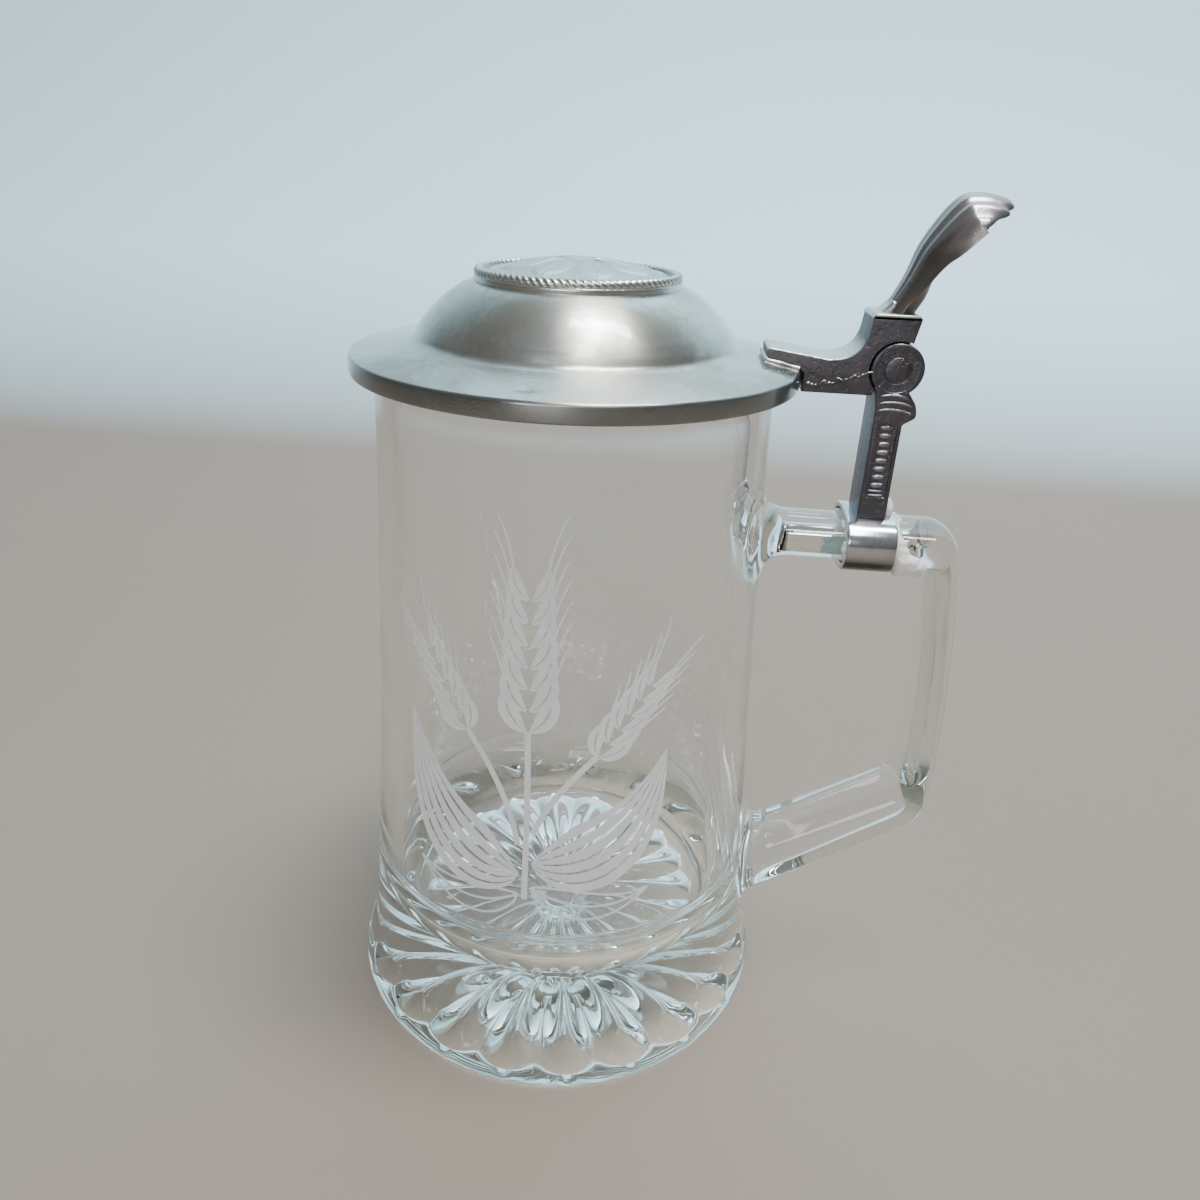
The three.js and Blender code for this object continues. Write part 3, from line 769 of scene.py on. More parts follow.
def glass_material(settings):
    """Clear pressed glass: tinted by depth, with shadows and much-bounced paths let straight through."""
    material, tree, shader, place = new_material("Clear pressed glass")
    wire(tree, shader, {
        "Base Color": (1.0, 1.0, 1.0),
        "Roughness": 0.0,
        "IOR": 1.5,
        "Transmission Weight": 1.0,
    })
    bump(tree, shader, noise(tree, place, 0.045, 1.0), 0.35, 0.6)
    depth = node(tree, "VolumeAbsorption", {"Color": settings.tint, "Density": settings.tint_depth})
    clear = node(tree, "BsdfTransparent", {"Color": (0.93, 0.95, 0.94)})
    light = node(tree, "LightPath").outputs
    bounced = maths(tree, "GREATER_THAN", light["Ray Depth"], MOST_BOUNCES + 0.5)
    mirrored = maths(tree, "GREATER_THAN", light["Glossy Depth"], MOST_MIRRORED + 0.5)
    through_light = maths(tree, "MAXIMUM", light["Is Shadow Ray"], maths(tree, "MAXIMUM", bounced, mirrored))
    shared = node(tree, "MixShader", {0: through_light, 1: shader.outputs[0], 2: clear.outputs[0]})
    wire(tree, tree.nodes["Material Output"], {"Surface": shared.outputs[0], "Volume": depth.outputs[0]})
    return material


def frost_material(settings):
    """Etched skin of the glass: rough and pale, with a fine grain and thinner spots that let light by."""
    material, tree, shader, place = new_material("Etched frost")
    grain = noise(tree, place, 3.5, 5.0, 0.7)
    cloud = noise(tree, place, 0.16, 3.0)
    shade = mixed(tree, ramped(tree, grain, 0.3, 0.7), dimmed(settings.frost, 0.82), settings.frost)
    cover = ramped(tree, cloud, 0.3, 0.7, 0.86, 1.0)
    wire(tree, shader, {"Base Color": shade, "Alpha": cover, "Roughness": 0.75})
    bump(tree, shader, grain, 0.4, 0.05)
    return material


def turned_grain(tree, place, lines):
    """Brushing left by turning: noise along radius plus height, drawn out round the lid's axis."""
    flat = flattened(tree, place)
    height = node(tree, "SeparateXYZ", {0: place}).outputs[2]
    around = node(tree, "VectorMath", {0: flat}, operation="NORMALIZE").outputs["Vector"]
    turned = node(tree, "SeparateXYZ", {0: around}).outputs
    across = maths(tree, "MULTIPLY", maths(tree, "ADD", length_of(tree, flat), height), lines)
    drawn = node(tree, "CombineXYZ", {0: across, 1: turned[0], 2: turned[1]})
    return noise(tree, drawn.outputs[0], 1.0, 4.0)


def spun_material(settings):
    """Satin spun pewter: brushed round the axis, clouded with tarnish, with painted shade on the upright edge
    of its rim, thinly glossed.
    """
    material, tree, shader, place = new_material("Spun pewter")
    grain = turned_grain(tree, place, 5.0)
    clean = mixed(tree, grain, dimmed(settings.pewter, 0.84), settings.pewter)
    stained, mask = tarnished(tree, place, 0.055, settings.tarnish, 0.75, clean, settings.stain)
    radius = length_of(tree, flattened(tree, place))
    # Painted shade: the lid's upright outer edge is coloured towards the dark rim colour
    rim = ramped(tree, radius, LID_RADIUS - 0.45, LID_RADIUS - 0.15, 0.0, 0.9)
    rough = ramped(tree, grain, 0.3, 0.7, 0.23, 0.31)
    around = node(tree, "Tangent", direction_type="RADIAL", axis="Z")
    wire(tree, shader, {
        "Base Color": mixed(tree, rim, stained, settings.rim),
        "Roughness": maths(tree, "MULTIPLY_ADD", mask, 0.12, rough),
        "Metallic": 1.0,
        "Coat Weight": 0.7,
        "Coat Roughness": 0.06,
        "Anisotropic": 0.75,
        "Anisotropic Rotation": 0.25,
        "Tangent": around.outputs["Tangent"],
    })
    scratch = effect(tree, "Scratches", place, 1.6)["Mask"]
    bump(tree, shader, maths(tree, "MULTIPLY_ADD", scratch, -0.8, grain), 0.25, 0.03)
    return material


def cast_material(settings, name, face, top, rough, grain=0.7):
    """Cast pewter: dark rough skin on upright faces, lighter on top as painted top light and rubbing, and
    rubbed bright where it stands proud.
    """
    material, tree, shader, place = new_material(name)
    skin = effect(tree, "Cast skin", place, 0.45)["Height"]
    # Painted top light, with rubbing: faces that look up take the top colour, and raised skin tips them over
    # sooner
    rubbed = ramped(tree, maths(tree, "MULTIPLY_ADD", skin, 0.25, facing_up(tree)), 0.55, 0.95)
    metal = mixed(tree, rubbed, face, top)
    worn, _ = tarnished(tree, place, 0.16, settings.tarnish, 0.12, metal, settings.stain)
    smoothed = ramped(tree, rubbed, 0.0, 1.0, rough, 0.34)
    wire(tree, shader, {"Base Color": worn, "Roughness": smoothed, "Metallic": 1.0})
    bump(tree, shader, skin, grain, 0.3)
    return material


def relief_material(settings, name, bright, dark):
    """Cast relief in pewter: bright on its heights and darker into its hollows as painted shade, by the
    relief attribute.
    """
    material, tree, shader, place = new_material(name)
    height = node(tree, "Attribute", attribute_name="relief").outputs["Fac"]
    skin = effect(tree, "Cast skin", place, 0.9)["Height"]
    broken = maths(tree, "MULTIPLY_ADD", skin, 0.3, height)
    # Painted shade: the lower the relief value, the nearer the colour comes to the dark one
    metal = mixed(tree, ramped(tree, broken, 0.15, 0.75), dark, bright)
    worn, _ = tarnished(tree, place, 0.12, settings.tarnish, 0.25, metal, settings.stain)
    rough = ramped(tree, broken, 0.1, 0.9, 0.42, 0.27)
    wire(tree, shader, {"Base Color": worn, "Roughness": rough, "Metallic": 1.0})
    scratch = effect(tree, "Scratches", place, 2.2)["Mask"]
    bump(tree, shader, maths(tree, "MULTIPLY_ADD", scratch, -0.5, skin), 0.3, 0.06)
    return material


def strap_material():
    """Polished strip: bright metal with hair scratches along it, a little tarnish, and a painted dark
    reflection on its underside.
    """
    material, tree, shader, place = new_material("Polished strip")
    laid = node(tree, "Mapping", {"Vector": place, "Scale": (3.0, 0.12, 0.12)})
    hair = noise(tree, laid.outputs[0], 2.0, 4.0)
    metal = mixed(tree, hair, (0.68, 0.71, 0.76), (0.76, 0.79, 0.84))
    # Painted dark reflection: faces that look down are coloured near black
    under = ramped(tree, facing_up(tree), 0.15, -0.45)
    painted_dark_underside = mixed(tree, under, metal, (0.065, 0.055, 0.052))
    worn, _ = tarnished(tree, place, 0.15, 0.2, 0.35, painted_dark_underside, (0.3, 0.26, 0.22))
    rough = ramped(tree, hair, 0.3, 0.7, 0.12, 0.22)
    wire(tree, shader, {"Base Color": worn, "Roughness": rough, "Metallic": 1.0})
    bump(tree, shader, hair, 0.2, 0.03)
    return material


def cement_material():
    """White cement: chalky, pitted and a little soiled."""
    material, tree, shader, place = new_material("White cement")
    skin = effect(tree, "Cast skin", place, 1.1)
    chalk = mixed(tree, skin["Raised"], (0.8, 0.79, 0.76), (0.95, 0.95, 0.94))
    soiled, _ = tarnished(tree, place, 0.3, 0.25, 0.15, chalk, (0.5, 0.47, 0.4))
    rough = ramped(tree, skin["Height"], 0.2, 1.0, 0.95, 0.7)
    wire(tree, shader, {"Base Color": soiled, "Roughness": rough})
    bump(tree, shader, skin["Height"], 0.7, 0.25)
    return material


def floor_material(settings):
    """Plain pale floor that turns to a lighter wall behind, with the faintest mottle."""
    material, tree, shader, place = new_material("Pale floor")
    mottle = noise(tree, place, 0.006, 3.0)
    ground = mixed(tree, mottle, dimmed(settings.floor, 0.95), settings.floor)
    depth = node(tree, "SeparateXYZ", {0: place}).outputs[1]
    back = ramped(tree, depth, BLEND_START, BLEND_END)
    wire(tree, shader, {"Base Color": mixed(tree, back, ground, settings.wall), "Roughness": 0.7})
    return material


# Glass mug

def wall_outside(height):
    """Outer radius of the wall: mouth radius plus a taper that falls off as a power of the way up."""
    rise = np.clip((height - WAIST_HEIGHT) / (MUG_HEIGHT - WAIST_HEIGHT), 0, 1)
    return MOUTH_RADIUS + (WAIST_RADIUS - MOUTH_RADIUS) * (1 - rise) ** TAPER_POWER


def wall_inside(height):
    """Inner radius of the wall: the outer one less a wall that thins from floor to mouth."""
    share = (height - FLOOR_HEIGHT) / (MUG_HEIGHT - FLOOR_HEIGHT)
    return wall_outside(height) - lerp(BASE_WALL, MOUTH_WALL, share)


def mug_profile():
    """Glass section: out along the underside, round the foot, up the wall, over the rim and down inside."""
    top = MUG_HEIGHT - RIM_ROUND
    corner = FLOOR_HEIGHT + FLOOR_CORNER
    under = line((0, 0), (FLUTE_HUB, 0), 3)
    share = 0.5 - 0.5 * np.cos(np.linspace(0, math.pi, 41))
    fluted = np.stack([lerp(FLUTE_HUB, FLUTE_EDGE, share), np.zeros_like(share)], axis=1)
    foot = arc((FOOT_RADIUS - FOOT_ROUND, FOOT_ROUND), FOOT_ROUND, -90, 0, 6)
    climb = np.linspace(0, 1, 21)
    ogee_radius = WAIST_RADIUS + FOOT_FLARE * (0.5 + 0.5 * np.cos(math.pi * climb))
    ogee = np.stack([ogee_radius, lerp(FOOT_ROUND, WAIST_HEIGHT, climb)], axis=1)
    rise = np.linspace(WAIST_HEIGHT, top, 46)
    outside = np.stack([wall_outside(rise), rise], axis=1)
    outer_rim = arc((wall_outside(top) - RIM_ROUND, top), RIM_ROUND, 0, 90, 6)
    inner_rim = arc((wall_inside(top) + RIM_ROUND, top), RIM_ROUND, 90, 180, 6)
    wall = np.linspace(top, corner + SEAM_REACH, 36)
    fall = np.concatenate([wall, np.linspace(corner + SEAM_REACH - SEAM_STEP, corner, 15)])
    bead = SEAM_BEAD * np.exp(-((fall - corner - SEAM_RISE) / SEAM_WIDTH) ** 2)
    inside = np.stack([wall_inside(fall) - bead, fall], axis=1)
    bowl = arc((wall_inside(corner) - FLOOR_CORNER, corner), FLOOR_CORNER, 0, -90, 20)
    floor = line(bowl[-1], (0, FLOOR_HEIGHT), 8)
    return chain(under, fluted, foot, ogee, outside, outer_rim, inner_rim, inside, bowl, floor)


def mug_body(settings):
    """Lathe of the glass section whose underside is pressed up into a sunburst of hollow flutes.

    Each flute rises and falls as a sine along its length, and drops towards the ridges beside it as a cosine.
    """
    depth = settings.flute_depth / MM

    def press(radius, height, angle):
        across = 2 * np.mod(settings.flutes * angle / TAU, 1) - 1
        tip = FLUTE_EDGE - FLUTE_TIP * across ** 2
        along = np.clip((radius - FLUTE_HUB) / (tip - FLUTE_HUB), 0, 1)
        ridge = 1 - RIDGE_DROP * (0.5 - 0.5 * np.cos(math.pi * across))
        hollow = depth * np.sin(math.pi * along ** FLUTE_LEAN) * ridge
        underside = height < 0.01 * FOOT_ROUND
        return radius, np.where(underside, height + hollow, height)

    return lathe(mug_profile(), MUG_SEGMENTS, press)


def handle_rail(side):
    """Edge of the handle from the side: flared root, arm, corner, bowed grip, corner, sloping arm, root."""
    corner = OUTER_CORNER if side > 0 else INNER_CORNER
    arm = ARM_Z + side * ARM_HALF
    wall = float(wall_outside(ARM_Z))
    top_x = HINGE_X + GRIP_OFFSET + side * GRIP_TOP_HALF
    foot_x = HINGE_X + GRIP_OFFSET + GRIP_LEAN + side * GRIP_FOOT_HALF
    foot_z = FOOT_CORNER - (LOWER_DROP if side > 0 else 0)
    low_wall = float(wall_outside(LOWER_ROOT_TOP))
    root_z = LOWER_ROOT_TOP - (LOWER_ROOT_DEPTH if side > 0 else 0)
    start = np.array([lerp(top_x, foot_x, GRIP_START), arm - corner])
    end = np.array([foot_x, foot_z + corner])
    slope = np.array([foot_x - low_wall - ROOT_REACH, foot_z - root_z])
    turned = np.array([foot_x, foot_z]) - corner * slope / np.linalg.norm(slope)
    middle = (start + end) / 2 + np.array([2 * GRIP_BOW, 0])
    flared = root_z - side * (ROOT_FLARE + side * slope[1] * ROOT_REACH / slope[0] / 2)
    root_in = (low_wall + ROOT_REACH, root_z)
    root_pull = (low_wall + ROOT_REACH / 3, (root_z + flared) / 2)
    stretches = (
        bend((wall - ROOT_BURY, arm + side * ROOT_FLARE), (wall + ROOT_REACH / 3, arm),
             (wall + ROOT_REACH, arm), ROOT_STEPS),
        line((wall + ROOT_REACH, arm), (start[0] - corner, arm), 14),
        bend((start[0] - corner, arm), (start[0] - CORNER_PULL * corner, arm), start, 12),
        bend(start, middle, end, 30),
        bend(end, (foot_x, foot_z), turned, 12),
        line(turned, root_in, 18),
        bend(root_in, root_pull, (low_wall - ROOT_BURY, flared), ROOT_STEPS),
    )
    return np.vstack([stretches[0], *[stretch[1:] for stretch in stretches[1:]]])


def mug_handle():
    """Loft between the two rails: a squarish oval across each pair of points, wider at both roots."""
    outer, inner = handle_rail(1), handle_rail(-1)
    count = len(outer)
    place = np.arange(count)
    from_end = np.minimum(place, count - 1 - place) / ROOT_STEPS
    half = ARM_WIDTH_HALF + ROOT_FLARE * np.clip(1 - from_end, 0, 1) ** 2
    shape = oval(TAU * np.arange(HANDLE_SIDES) / HANDLE_SIDES, 1, 1, SECTION_POWER)
    middle = (outer + inner) / 2
    reach = (outer - inner) / 2
    flat = middle[:, None] + reach[:, None] * shape[None, :, 1:]
    width = half[:, None] * shape[None, :, 0]
    return tube(np.stack([flat[..., 0], width, flat[..., 1]], axis=-1))


def mug_glass(settings):
    """Body and handle fused into one closed skin, with the seam between them drawn out to a fillet."""
    body, handle = mug_body(settings), mug_handle()
    mesh = fuse("mug_glass", body, ("UNION", handle))
    points = mesh_points(mesh)
    old = np.vstack([np.asarray(body[0]) * MM, np.asarray(handle[0]) * MM]).astype(np.float32)
    known = {row.tobytes() for row in np.round(old / SAME_POINT).astype(np.int64)}
    fresh = np.array([row.tobytes() not in known for row in np.round(points / SAME_POINT).astype(np.int64)])
    seam = points[fresh]
    near = np.where(points[:, 0] > 0.5 * WAIST_RADIUS * MM)[0]
    gap = np.full(len(points), 1.0)
    if len(seam):
        apart = points[near][:, None] - seam[None]
        gap[near] = np.sqrt(np.min(np.sum(apart ** 2, axis=2), axis=1))
    share = RELAX_SHARE * (1 - smooth(gap / MM, 0.4 * ROOT_FILLET, ROOT_FILLET))
    relax(mesh, share, RELAX_ROUNDS)
    return mesh


# Etched ornament

def on_wall(settings, sheet, lift):
    """Wrap a flat sheet, across and up, round the outside of the glass."""
    radius = wall_outside(sheet[..., 1])
    angle = math.radians(settings.bearing) + sheet[..., 0] / radius
    out = radius + lift
    return np.stack([out * np.cos(angle), out * np.sin(angle), sheet[..., 1]], axis=-1)


def thin_patch(settings, sheet):
    """Thin closed flake of frost on the wall: rows of the sheet as flat rings, outer skin then inner skin."""
    outer = on_wall(settings, sheet, FROST_TOP)
    inner = on_wall(settings, sheet, FROST_FOOT)
    return tube(np.concatenate([outer, inner[:, ::-1]], axis=1))


def beside(path):
    """Unit vectors to the left of a flat path: its tangent turned anticlockwise."""
    tangent = np.gradient(path, axis=0)
    tangent /= np.linalg.norm(tangent, axis=1, keepdims=True)
    return np.stack([-tangent[:, 1], tangent[:, 0]], axis=1)


def ribbon(path, half_width, low=-1.0, high=1.0, columns=2):
    """Strip along a path: points set out to both sides by shares of its half width."""
    share = np.linspace(low, high, columns)
    spread = np.broadcast_to(half_width, len(path))[:, None] * share[None]
    return path[:, None] + beside(path)[:, None] * spread[..., None]


def leaf_sheets(path, width, veins, clear):
    """Leaf blade cut by clear veins into strips; its width swells and closes as a sine along the path."""
    share = np.linspace(0.004, 0.996, len(path))
    half = width * np.sin(math.pi * share ** LEAF_SWELL) + 0.06
    lows = [2 * vein / veins - 1 + clear for vein in range(veins)]
    return [ribbon(path, half, low, low + 2 / veins - 2 * clear, 4) for low in lows]


def leaf_outline(path, width, stroke):
    """Leaf drawn as two edges and a midrib, each a thin ribbon."""
    half = width * np.sin(math.pi * np.linspace(0, 1, len(path)) ** LEAF_SWELL)
    side = beside(path)
    edges = [path + side * half[:, None], path - side * half[:, None], path]
    return [ribbon(edge, stroke) for edge in edges]


def grain_sheets(root, lean, pairs, size, stroke):
    """Ear of barley: paired split grains that lean out from the stalk, each with a fine awn."""
    heading = math.radians(lean)
    forward = np.array([math.sin(heading), math.cos(heading)]) * size
    side = np.array([math.cos(heading), -math.sin(heading)]) * size
    full = np.sin(math.pi * np.linspace(0.02, 0.98, 12)) ** 0.8
    sheets = []
    for index in range(pairs):
        base = np.array(root) + forward * GRAIN_PITCH * index
        shrink = 1 - GRAIN_SHRINK * index
        for hand in (-1, 1):
            out = side * hand
            start = base + out * 0.35
            tip = start + (forward * GRAIN_LENGTH + out * GRAIN_LEAN) * shrink
            pull = start + (forward * GRAIN_PULL[0] + out * GRAIN_PULL[1]) * shrink
            grain = bend(start, pull, tip, 11)
            swell = GRAIN_HALF * size * shrink * full + 0.05
            sheets.append(ribbon(grain, swell, -1.0, -GRAIN_SPLIT, 3))
            sheets.append(ribbon(grain, swell, GRAIN_SPLIT, 1.0, 3))
            awn_pull = tip + forward * AWN_PULL[0] + out * AWN_PULL[1]
            awn = bend(tip, awn_pull, tip + forward * AWN_LENGTH + out * AWN_LEAN, 8)
            sheets.append(ribbon(awn, np.linspace(stroke, AWN_TIP, 9)))
    return sheets


def barley_sheets(settings):
    """Sheaf for the front of the mug: ears on bowed stalks, broad veined leaves and outlined ones below."""
    stroke = settings.stroke / MM / 2
    sheets = [ribbon(bend(*stalk, 16), STALK_HALF) for stalk in STALKS]
    for root, lean, pairs, size in EARS:
        sheets += grain_sheets(root, lean, pairs, size, stroke)
    for blade in VEINED_LEAVES:
        sheets += leaf_sheets(bend(*blade, 30), VEINED_HALF, VEINS, VEIN_CLEAR)
    for blade in DRAWN_LEAVES:
        sheets += leaf_outline(bend(*blade, 26), DRAWN_HALF, stroke)
    return sheets


# Lid

def lid_profile():
    """Lid section: under the crown, down inside the dome, round the lip and rim, and up over the dome."""
    rise = np.linspace(0, math.pi / 2, 37)
    share = 2 / DOME_POWER
    dome_radius = CROWN_RADIUS + (DOME_RADIUS - CROWN_RADIUS) * np.cos(rise) ** share
    dome_height = DOME_FOOT + (CROWN_HEIGHT - DOME_FOOT) * np.sin(rise) ** share
    dome = np.stack([dome_radius, dome_height], axis=1)
    start = int(np.argmax(dome_height > DOME_FOOT + COVE_RISE))
    hollow = np.stack([dome_radius - 0.9 * LID_WALL, dome_height - LID_WALL], axis=1)[::-1]
    under = chain(line((0, CROWN_HEIGHT - LID_WALL), hollow[0], 6), hollow)
    lip_low = LID_LOW[2] + LIP_ROUND
    lip_top = (LIP_INNER, LID_SEAT + LIP_RISE)
    lip = chain(
        line(hollow[-1], lip_top, 4),
        line(lip_top, (LIP_INNER, lip_low), 3),
        arc((LIP_INNER + LIP_ROUND, lip_low), LIP_ROUND, 180, 270, 4),
        arc((LIP_OUTER - LIP_ROUND, lip_low), LIP_ROUND, 270, 360, 4),
        line((LIP_OUTER, lip_low), (LIP_OUTER, LID_SEAT), 2),
    )
    seat = chain(
        line((LIP_OUTER, LID_SEAT), (RIM_CLEAR, LID_SEAT), 4),
        line((RIM_CLEAR, LID_SEAT), (RIM_CLEAR, LID_EDGE_LOW), 1),
        line((RIM_CLEAR, LID_EDGE_LOW), (LID_RADIUS - EDGE_ROUND, LID_EDGE_LOW), 3),
    )
    rim = chain(
        arc((LID_RADIUS - EDGE_ROUND, LID_EDGE_LOW + EDGE_ROUND), EDGE_ROUND, -90, -4, 6),
        arc((LID_RADIUS - TOP_ROUND, LID_EDGE_TOP - TOP_ROUND), TOP_ROUND, 4, 78, 10),
    )
    flange_end = np.array([FLANGE_INNER, FLANGE_TOP])
    flange = line(rim[-1], flange_end, 18)
    cove = bend(flange_end, (DOME_RADIUS + 0.25, DOME_FOOT + 0.02), dome[start], 8)
    return chain(under, lip, seat, rim, flange, cove, dome[start:], line(dome[-1], (0, CROWN_HEIGHT), 5))


def lid_shell():
    """Lathe of the lid section with one knock on the flange and the slight waver of hand work."""
    def press(radius, height, angle):
        outside = smooth(height, LID_EDGE_TOP - 0.4, LID_EDGE_TOP + 0.4)
        turn = np.angle(np.exp(1j * (angle - math.radians(KNOCK_BEARING))))
        across = (radius - KNOCK_RADIUS) / KNOCK_ACROSS
        along = turn * KNOCK_RADIUS / KNOCK_ALONG
        knock = np.exp(-across ** 2 - along ** 2)
        waver = 0.05 * np.sin(3 * angle + 0.6) + 0.03 * np.sin(7 * angle + radius / 6)
        return radius, height + outside * (0.5 * waver * (radius > 2) - KNOCK_DEPTH * knock)

    return lathe(lid_profile(), LID_SEGMENTS, press)


def medallion(settings):
    """Lathe with a twisted rope round a crowned field that carries a rosette; gives it with its relief.

    A strand is the size of a sine that slants round the rope, and a petal is an arch whose width is a sine
    along the radius.
    """
    low, high = MEDALLION_LOW[2], MEDALLION_HIGH[2]
    radius_out = MEDALLION_HIGH[1]
    rope = np.array([radius_out - ROPE_RADIUS, low + MEDALLION_STEP + ROPE_RADIUS])
    field_radius = rope[0] - 0.82 * ROPE_RADIUS
    step = rope[1] - 0.55 * ROPE_RADIUS
    cord = arc(rope, ROPE_RADIUS, -42, 205, 18)
    inward = np.linspace(1, 0, 40)
    field = np.stack([field_radius * inward, lerp(high, cord[-1, 1] + 0.1, inward ** 2)], axis=1)
    side = chain(
        line((0, low), (radius_out, low), 4),
        line((radius_out, low), (radius_out, step - 0.2), 3),
        line((radius_out, step - 0.2), (cord[0, 0], step), 1),
    )
    profile = chain(side, cord, field)
    first, last = len(side), len(side) + len(cord) - 2
    heights = []

    def press(radius, height, angle):
        row = np.arange(1, len(profile) - 1)[:, None]
        around = (row - first) / (last - first)
        arched = np.sin(math.pi * np.clip(around, 0, 1)) ** 0.4
        on_rope = np.where((around >= 0) & (around <= 1), arched, 0)
        phase = settings.twists * angle + STRAND_SLANT * TAU * around
        strand = np.abs(np.sin(phase / 2)) ** 0.8 - 1
        swell = STRAND_DEPTH * ROPE_RADIUS * on_rope * strand
        tilt = np.arctan2(height - rope[1], radius - rope[0])
        share = np.clip(radius / field_radius, 0, 1)
        on_field = (row > last + 1) & (radius < field_radius)
        petal = 2 * np.mod(PETALS * angle / TAU, 1) - 1
        reach = np.sin(math.pi * np.clip((share - 0.2) / 0.62, 0, 1)) ** 0.7 * 0.86
        bulge = np.sqrt(np.clip(1 - (petal / np.maximum(reach, 0.02)) ** 2, 0, 1)) * (reach > 0.02)
        rib = np.exp(-(petal * share / 0.05) ** 2) * 0.35
        boss = np.sqrt(np.clip(1 - (share / 0.15) ** 2, 0, 1))
        band = np.exp(-((share - 0.9) / 0.025) ** 2)
        raised = PETAL_HEIGHT * bulge * (1 - rib) + BOSS_HEIGHT * boss + BORDER_HEIGHT * band
        relief = on_field * raised * smooth(1 - share, 0.01, 0.06)
        # Painted shade: low values in the rope's grooves and the field's low parts, which the material paints
        # darker
        heights.append(np.where(on_field, 0.4 + 2.0 * relief, 1 + 0.9 * on_rope * strand))
        sunk = np.where(on_field, relief - FIELD_SINK * smooth(1 - share, 0.0, 0.5), 0)
        return radius + swell * np.cos(tilt), height + swell * np.sin(tilt) + sunk

    surface = lathe(profile, settings.twists * STRAND_SEGMENTS, press)
    at_poles = [0.5, 1.0]
    return surface, np.concatenate([heights[0].ravel(), at_poles])


# Hinge

def disc(radius, low, high, edge, segments=72):
    """Rounded disc about the hinge axis, from low to high along Y."""
    flat = radius - edge
    profile = chain(
        line((0, low), (flat, low), 2),
        arc((flat, low + edge), edge, -90, 0, 5),
        arc((flat, high - edge), edge, 0, 90, 5),
        line((flat, high), (0, high), 2),
    )
    return across_hinge(lathe(profile, segments))


def outer_disc(radius, side, inset, edge):
    """Disc that cuts into one side of the hinge by an inset and runs out past it."""
    low, high = sorted((side * (HINGE_HALF - inset), side * (HINGE_HALF + CUT_PAST)))
    return disc(radius, low, high, edge)


def flange_height(x):
    """Height of the lid's flange at a distance from its axis."""
    share = (LID_RADIUS - x) / (LID_RADIUS - FLANGE_INNER)
    return LID_EDGE_TOP + (FLANGE_TOP - LID_EDGE_TOP) * np.clip(share, 0, 1)


def lug_outline():
    """Side of the lug: nose on the flange, arm, swept fillet, leaning block, and a belly under the hinge."""
    nose = bend((LUG_TIP, LUG_FOOT_TOP - LUG_NOSE), (LUG_TIP, LUG_FOOT_TOP),
                (LUG_TIP + LUG_NOSE, LUG_FOOT_TOP - 0.05), 4)
    sweep = bend((BLOCK_BACK - LUG_FILLET - 0.6, LUG_ARM_TOP), (BLOCK_BACK - 0.3, LUG_ARM_TOP + 0.2),
                 (BLOCK_BACK, LUG_ARM_TOP + LUG_FILLET), 10)
    top = [(BLOCK_BACK + 0.2, BLOCK_TOP), (BLOCK_FRONT, BLOCK_TOP)]
    belly = arc((HINGE_X, HINGE_Z), EAR_RADIUS, 66, -136, 28)
    under = [
        (HINGE_X - 4.2, LUG_BOTTOM),
        (LID_RADIUS + 0.25, LUG_BOTTOM),
        (LID_RADIUS + 0.15, LID_EDGE_TOP - 0.7),
        (LID_RADIUS - 0.8, LID_EDGE_TOP - 0.1),
        (LUG_TIP + 0.3, flange_height(LUG_TIP) - 0.15),
    ]
    return np.vstack([nose, sweep, top, belly, under])


def lid_lug():
    """Rounded slab of the lug's side, with room cut for the two ears and a bore for the pin."""
    body = slab(lug_outline(), -HINGE_HALF, HINGE_HALF, LUG_EDGE)
    room = EAR_RADIUS + SWEEP_GAP
    cuts = [
        disc(room, KNUCKLE_HALF, HINGE_HALF + ROOM_PAST, 0.15),
        disc(room, -HINGE_HALF - ROOM_PAST, -KNUCKLE_HALF, 0.15),
        disc(PIN_RADIUS + 0.1, -HINGE_HALF - CUT_PAST, HINGE_HALF + CUT_PAST, 0.05),
    ]
    return fuse("lug", body, *[("DIFFERENCE", cut) for cut in cuts])


def seam_runs():
    """Crooked ridge of filled metal along both sides of the lug, broad and broken at its lid end."""
    runs = []
    share = np.linspace(0, 1, 90)
    waver = 0.5 * np.sin(29 * share) + 0.3 * np.sin(53 * share + 1) + 0.2 * np.sin(97 * share)
    for side in (-1, 1):
        x = lerp(LID_RADIUS + 1.0, BLOCK_BACK + 1.6, share)
        z = lerp(LUG_BOTTOM + 1.1, LUG_ARM_TOP - 2.0, share ** 1.3) + 0.9 * waver * (1 - share) ** 0.8
        path = np.stack([x, np.full_like(x, side * (HINGE_HALF - 0.2)), z], axis=1)
        runs.append(swept(path, lerp(0.42, 0.28, share) + 0.05 * waver))
    return joined(*runs)


def solder_runs():
    """Smooth beads of solder where the nose of the lug meets the lid: one on each side and one across."""
    runs = []
    share = np.linspace(0, 1, 60)
    for side in (-1, 1):
        x = lerp(LUG_TIP + 0.1, LID_RADIUS - 0.7, share)
        path = np.stack([x, np.full_like(x, side * SOLDER_HALF), flange_height(x) - 0.1], axis=1)
        runs.append(swept(path, SOLDER_RADIUS + 0.06 * np.sin(9 * share + 2 * side)))
    across = 2 * share - 1
    x = np.full_like(share, LUG_TIP + 0.1)
    z = np.full_like(share, flange_height(LUG_TIP) - 0.05)
    path = np.stack([x, SOLDER_HALF * across, z], axis=1)
    runs.append(swept(path, SOLDER_RADIUS + 0.05 * np.sin(7 * across)))
    return joined(*runs)


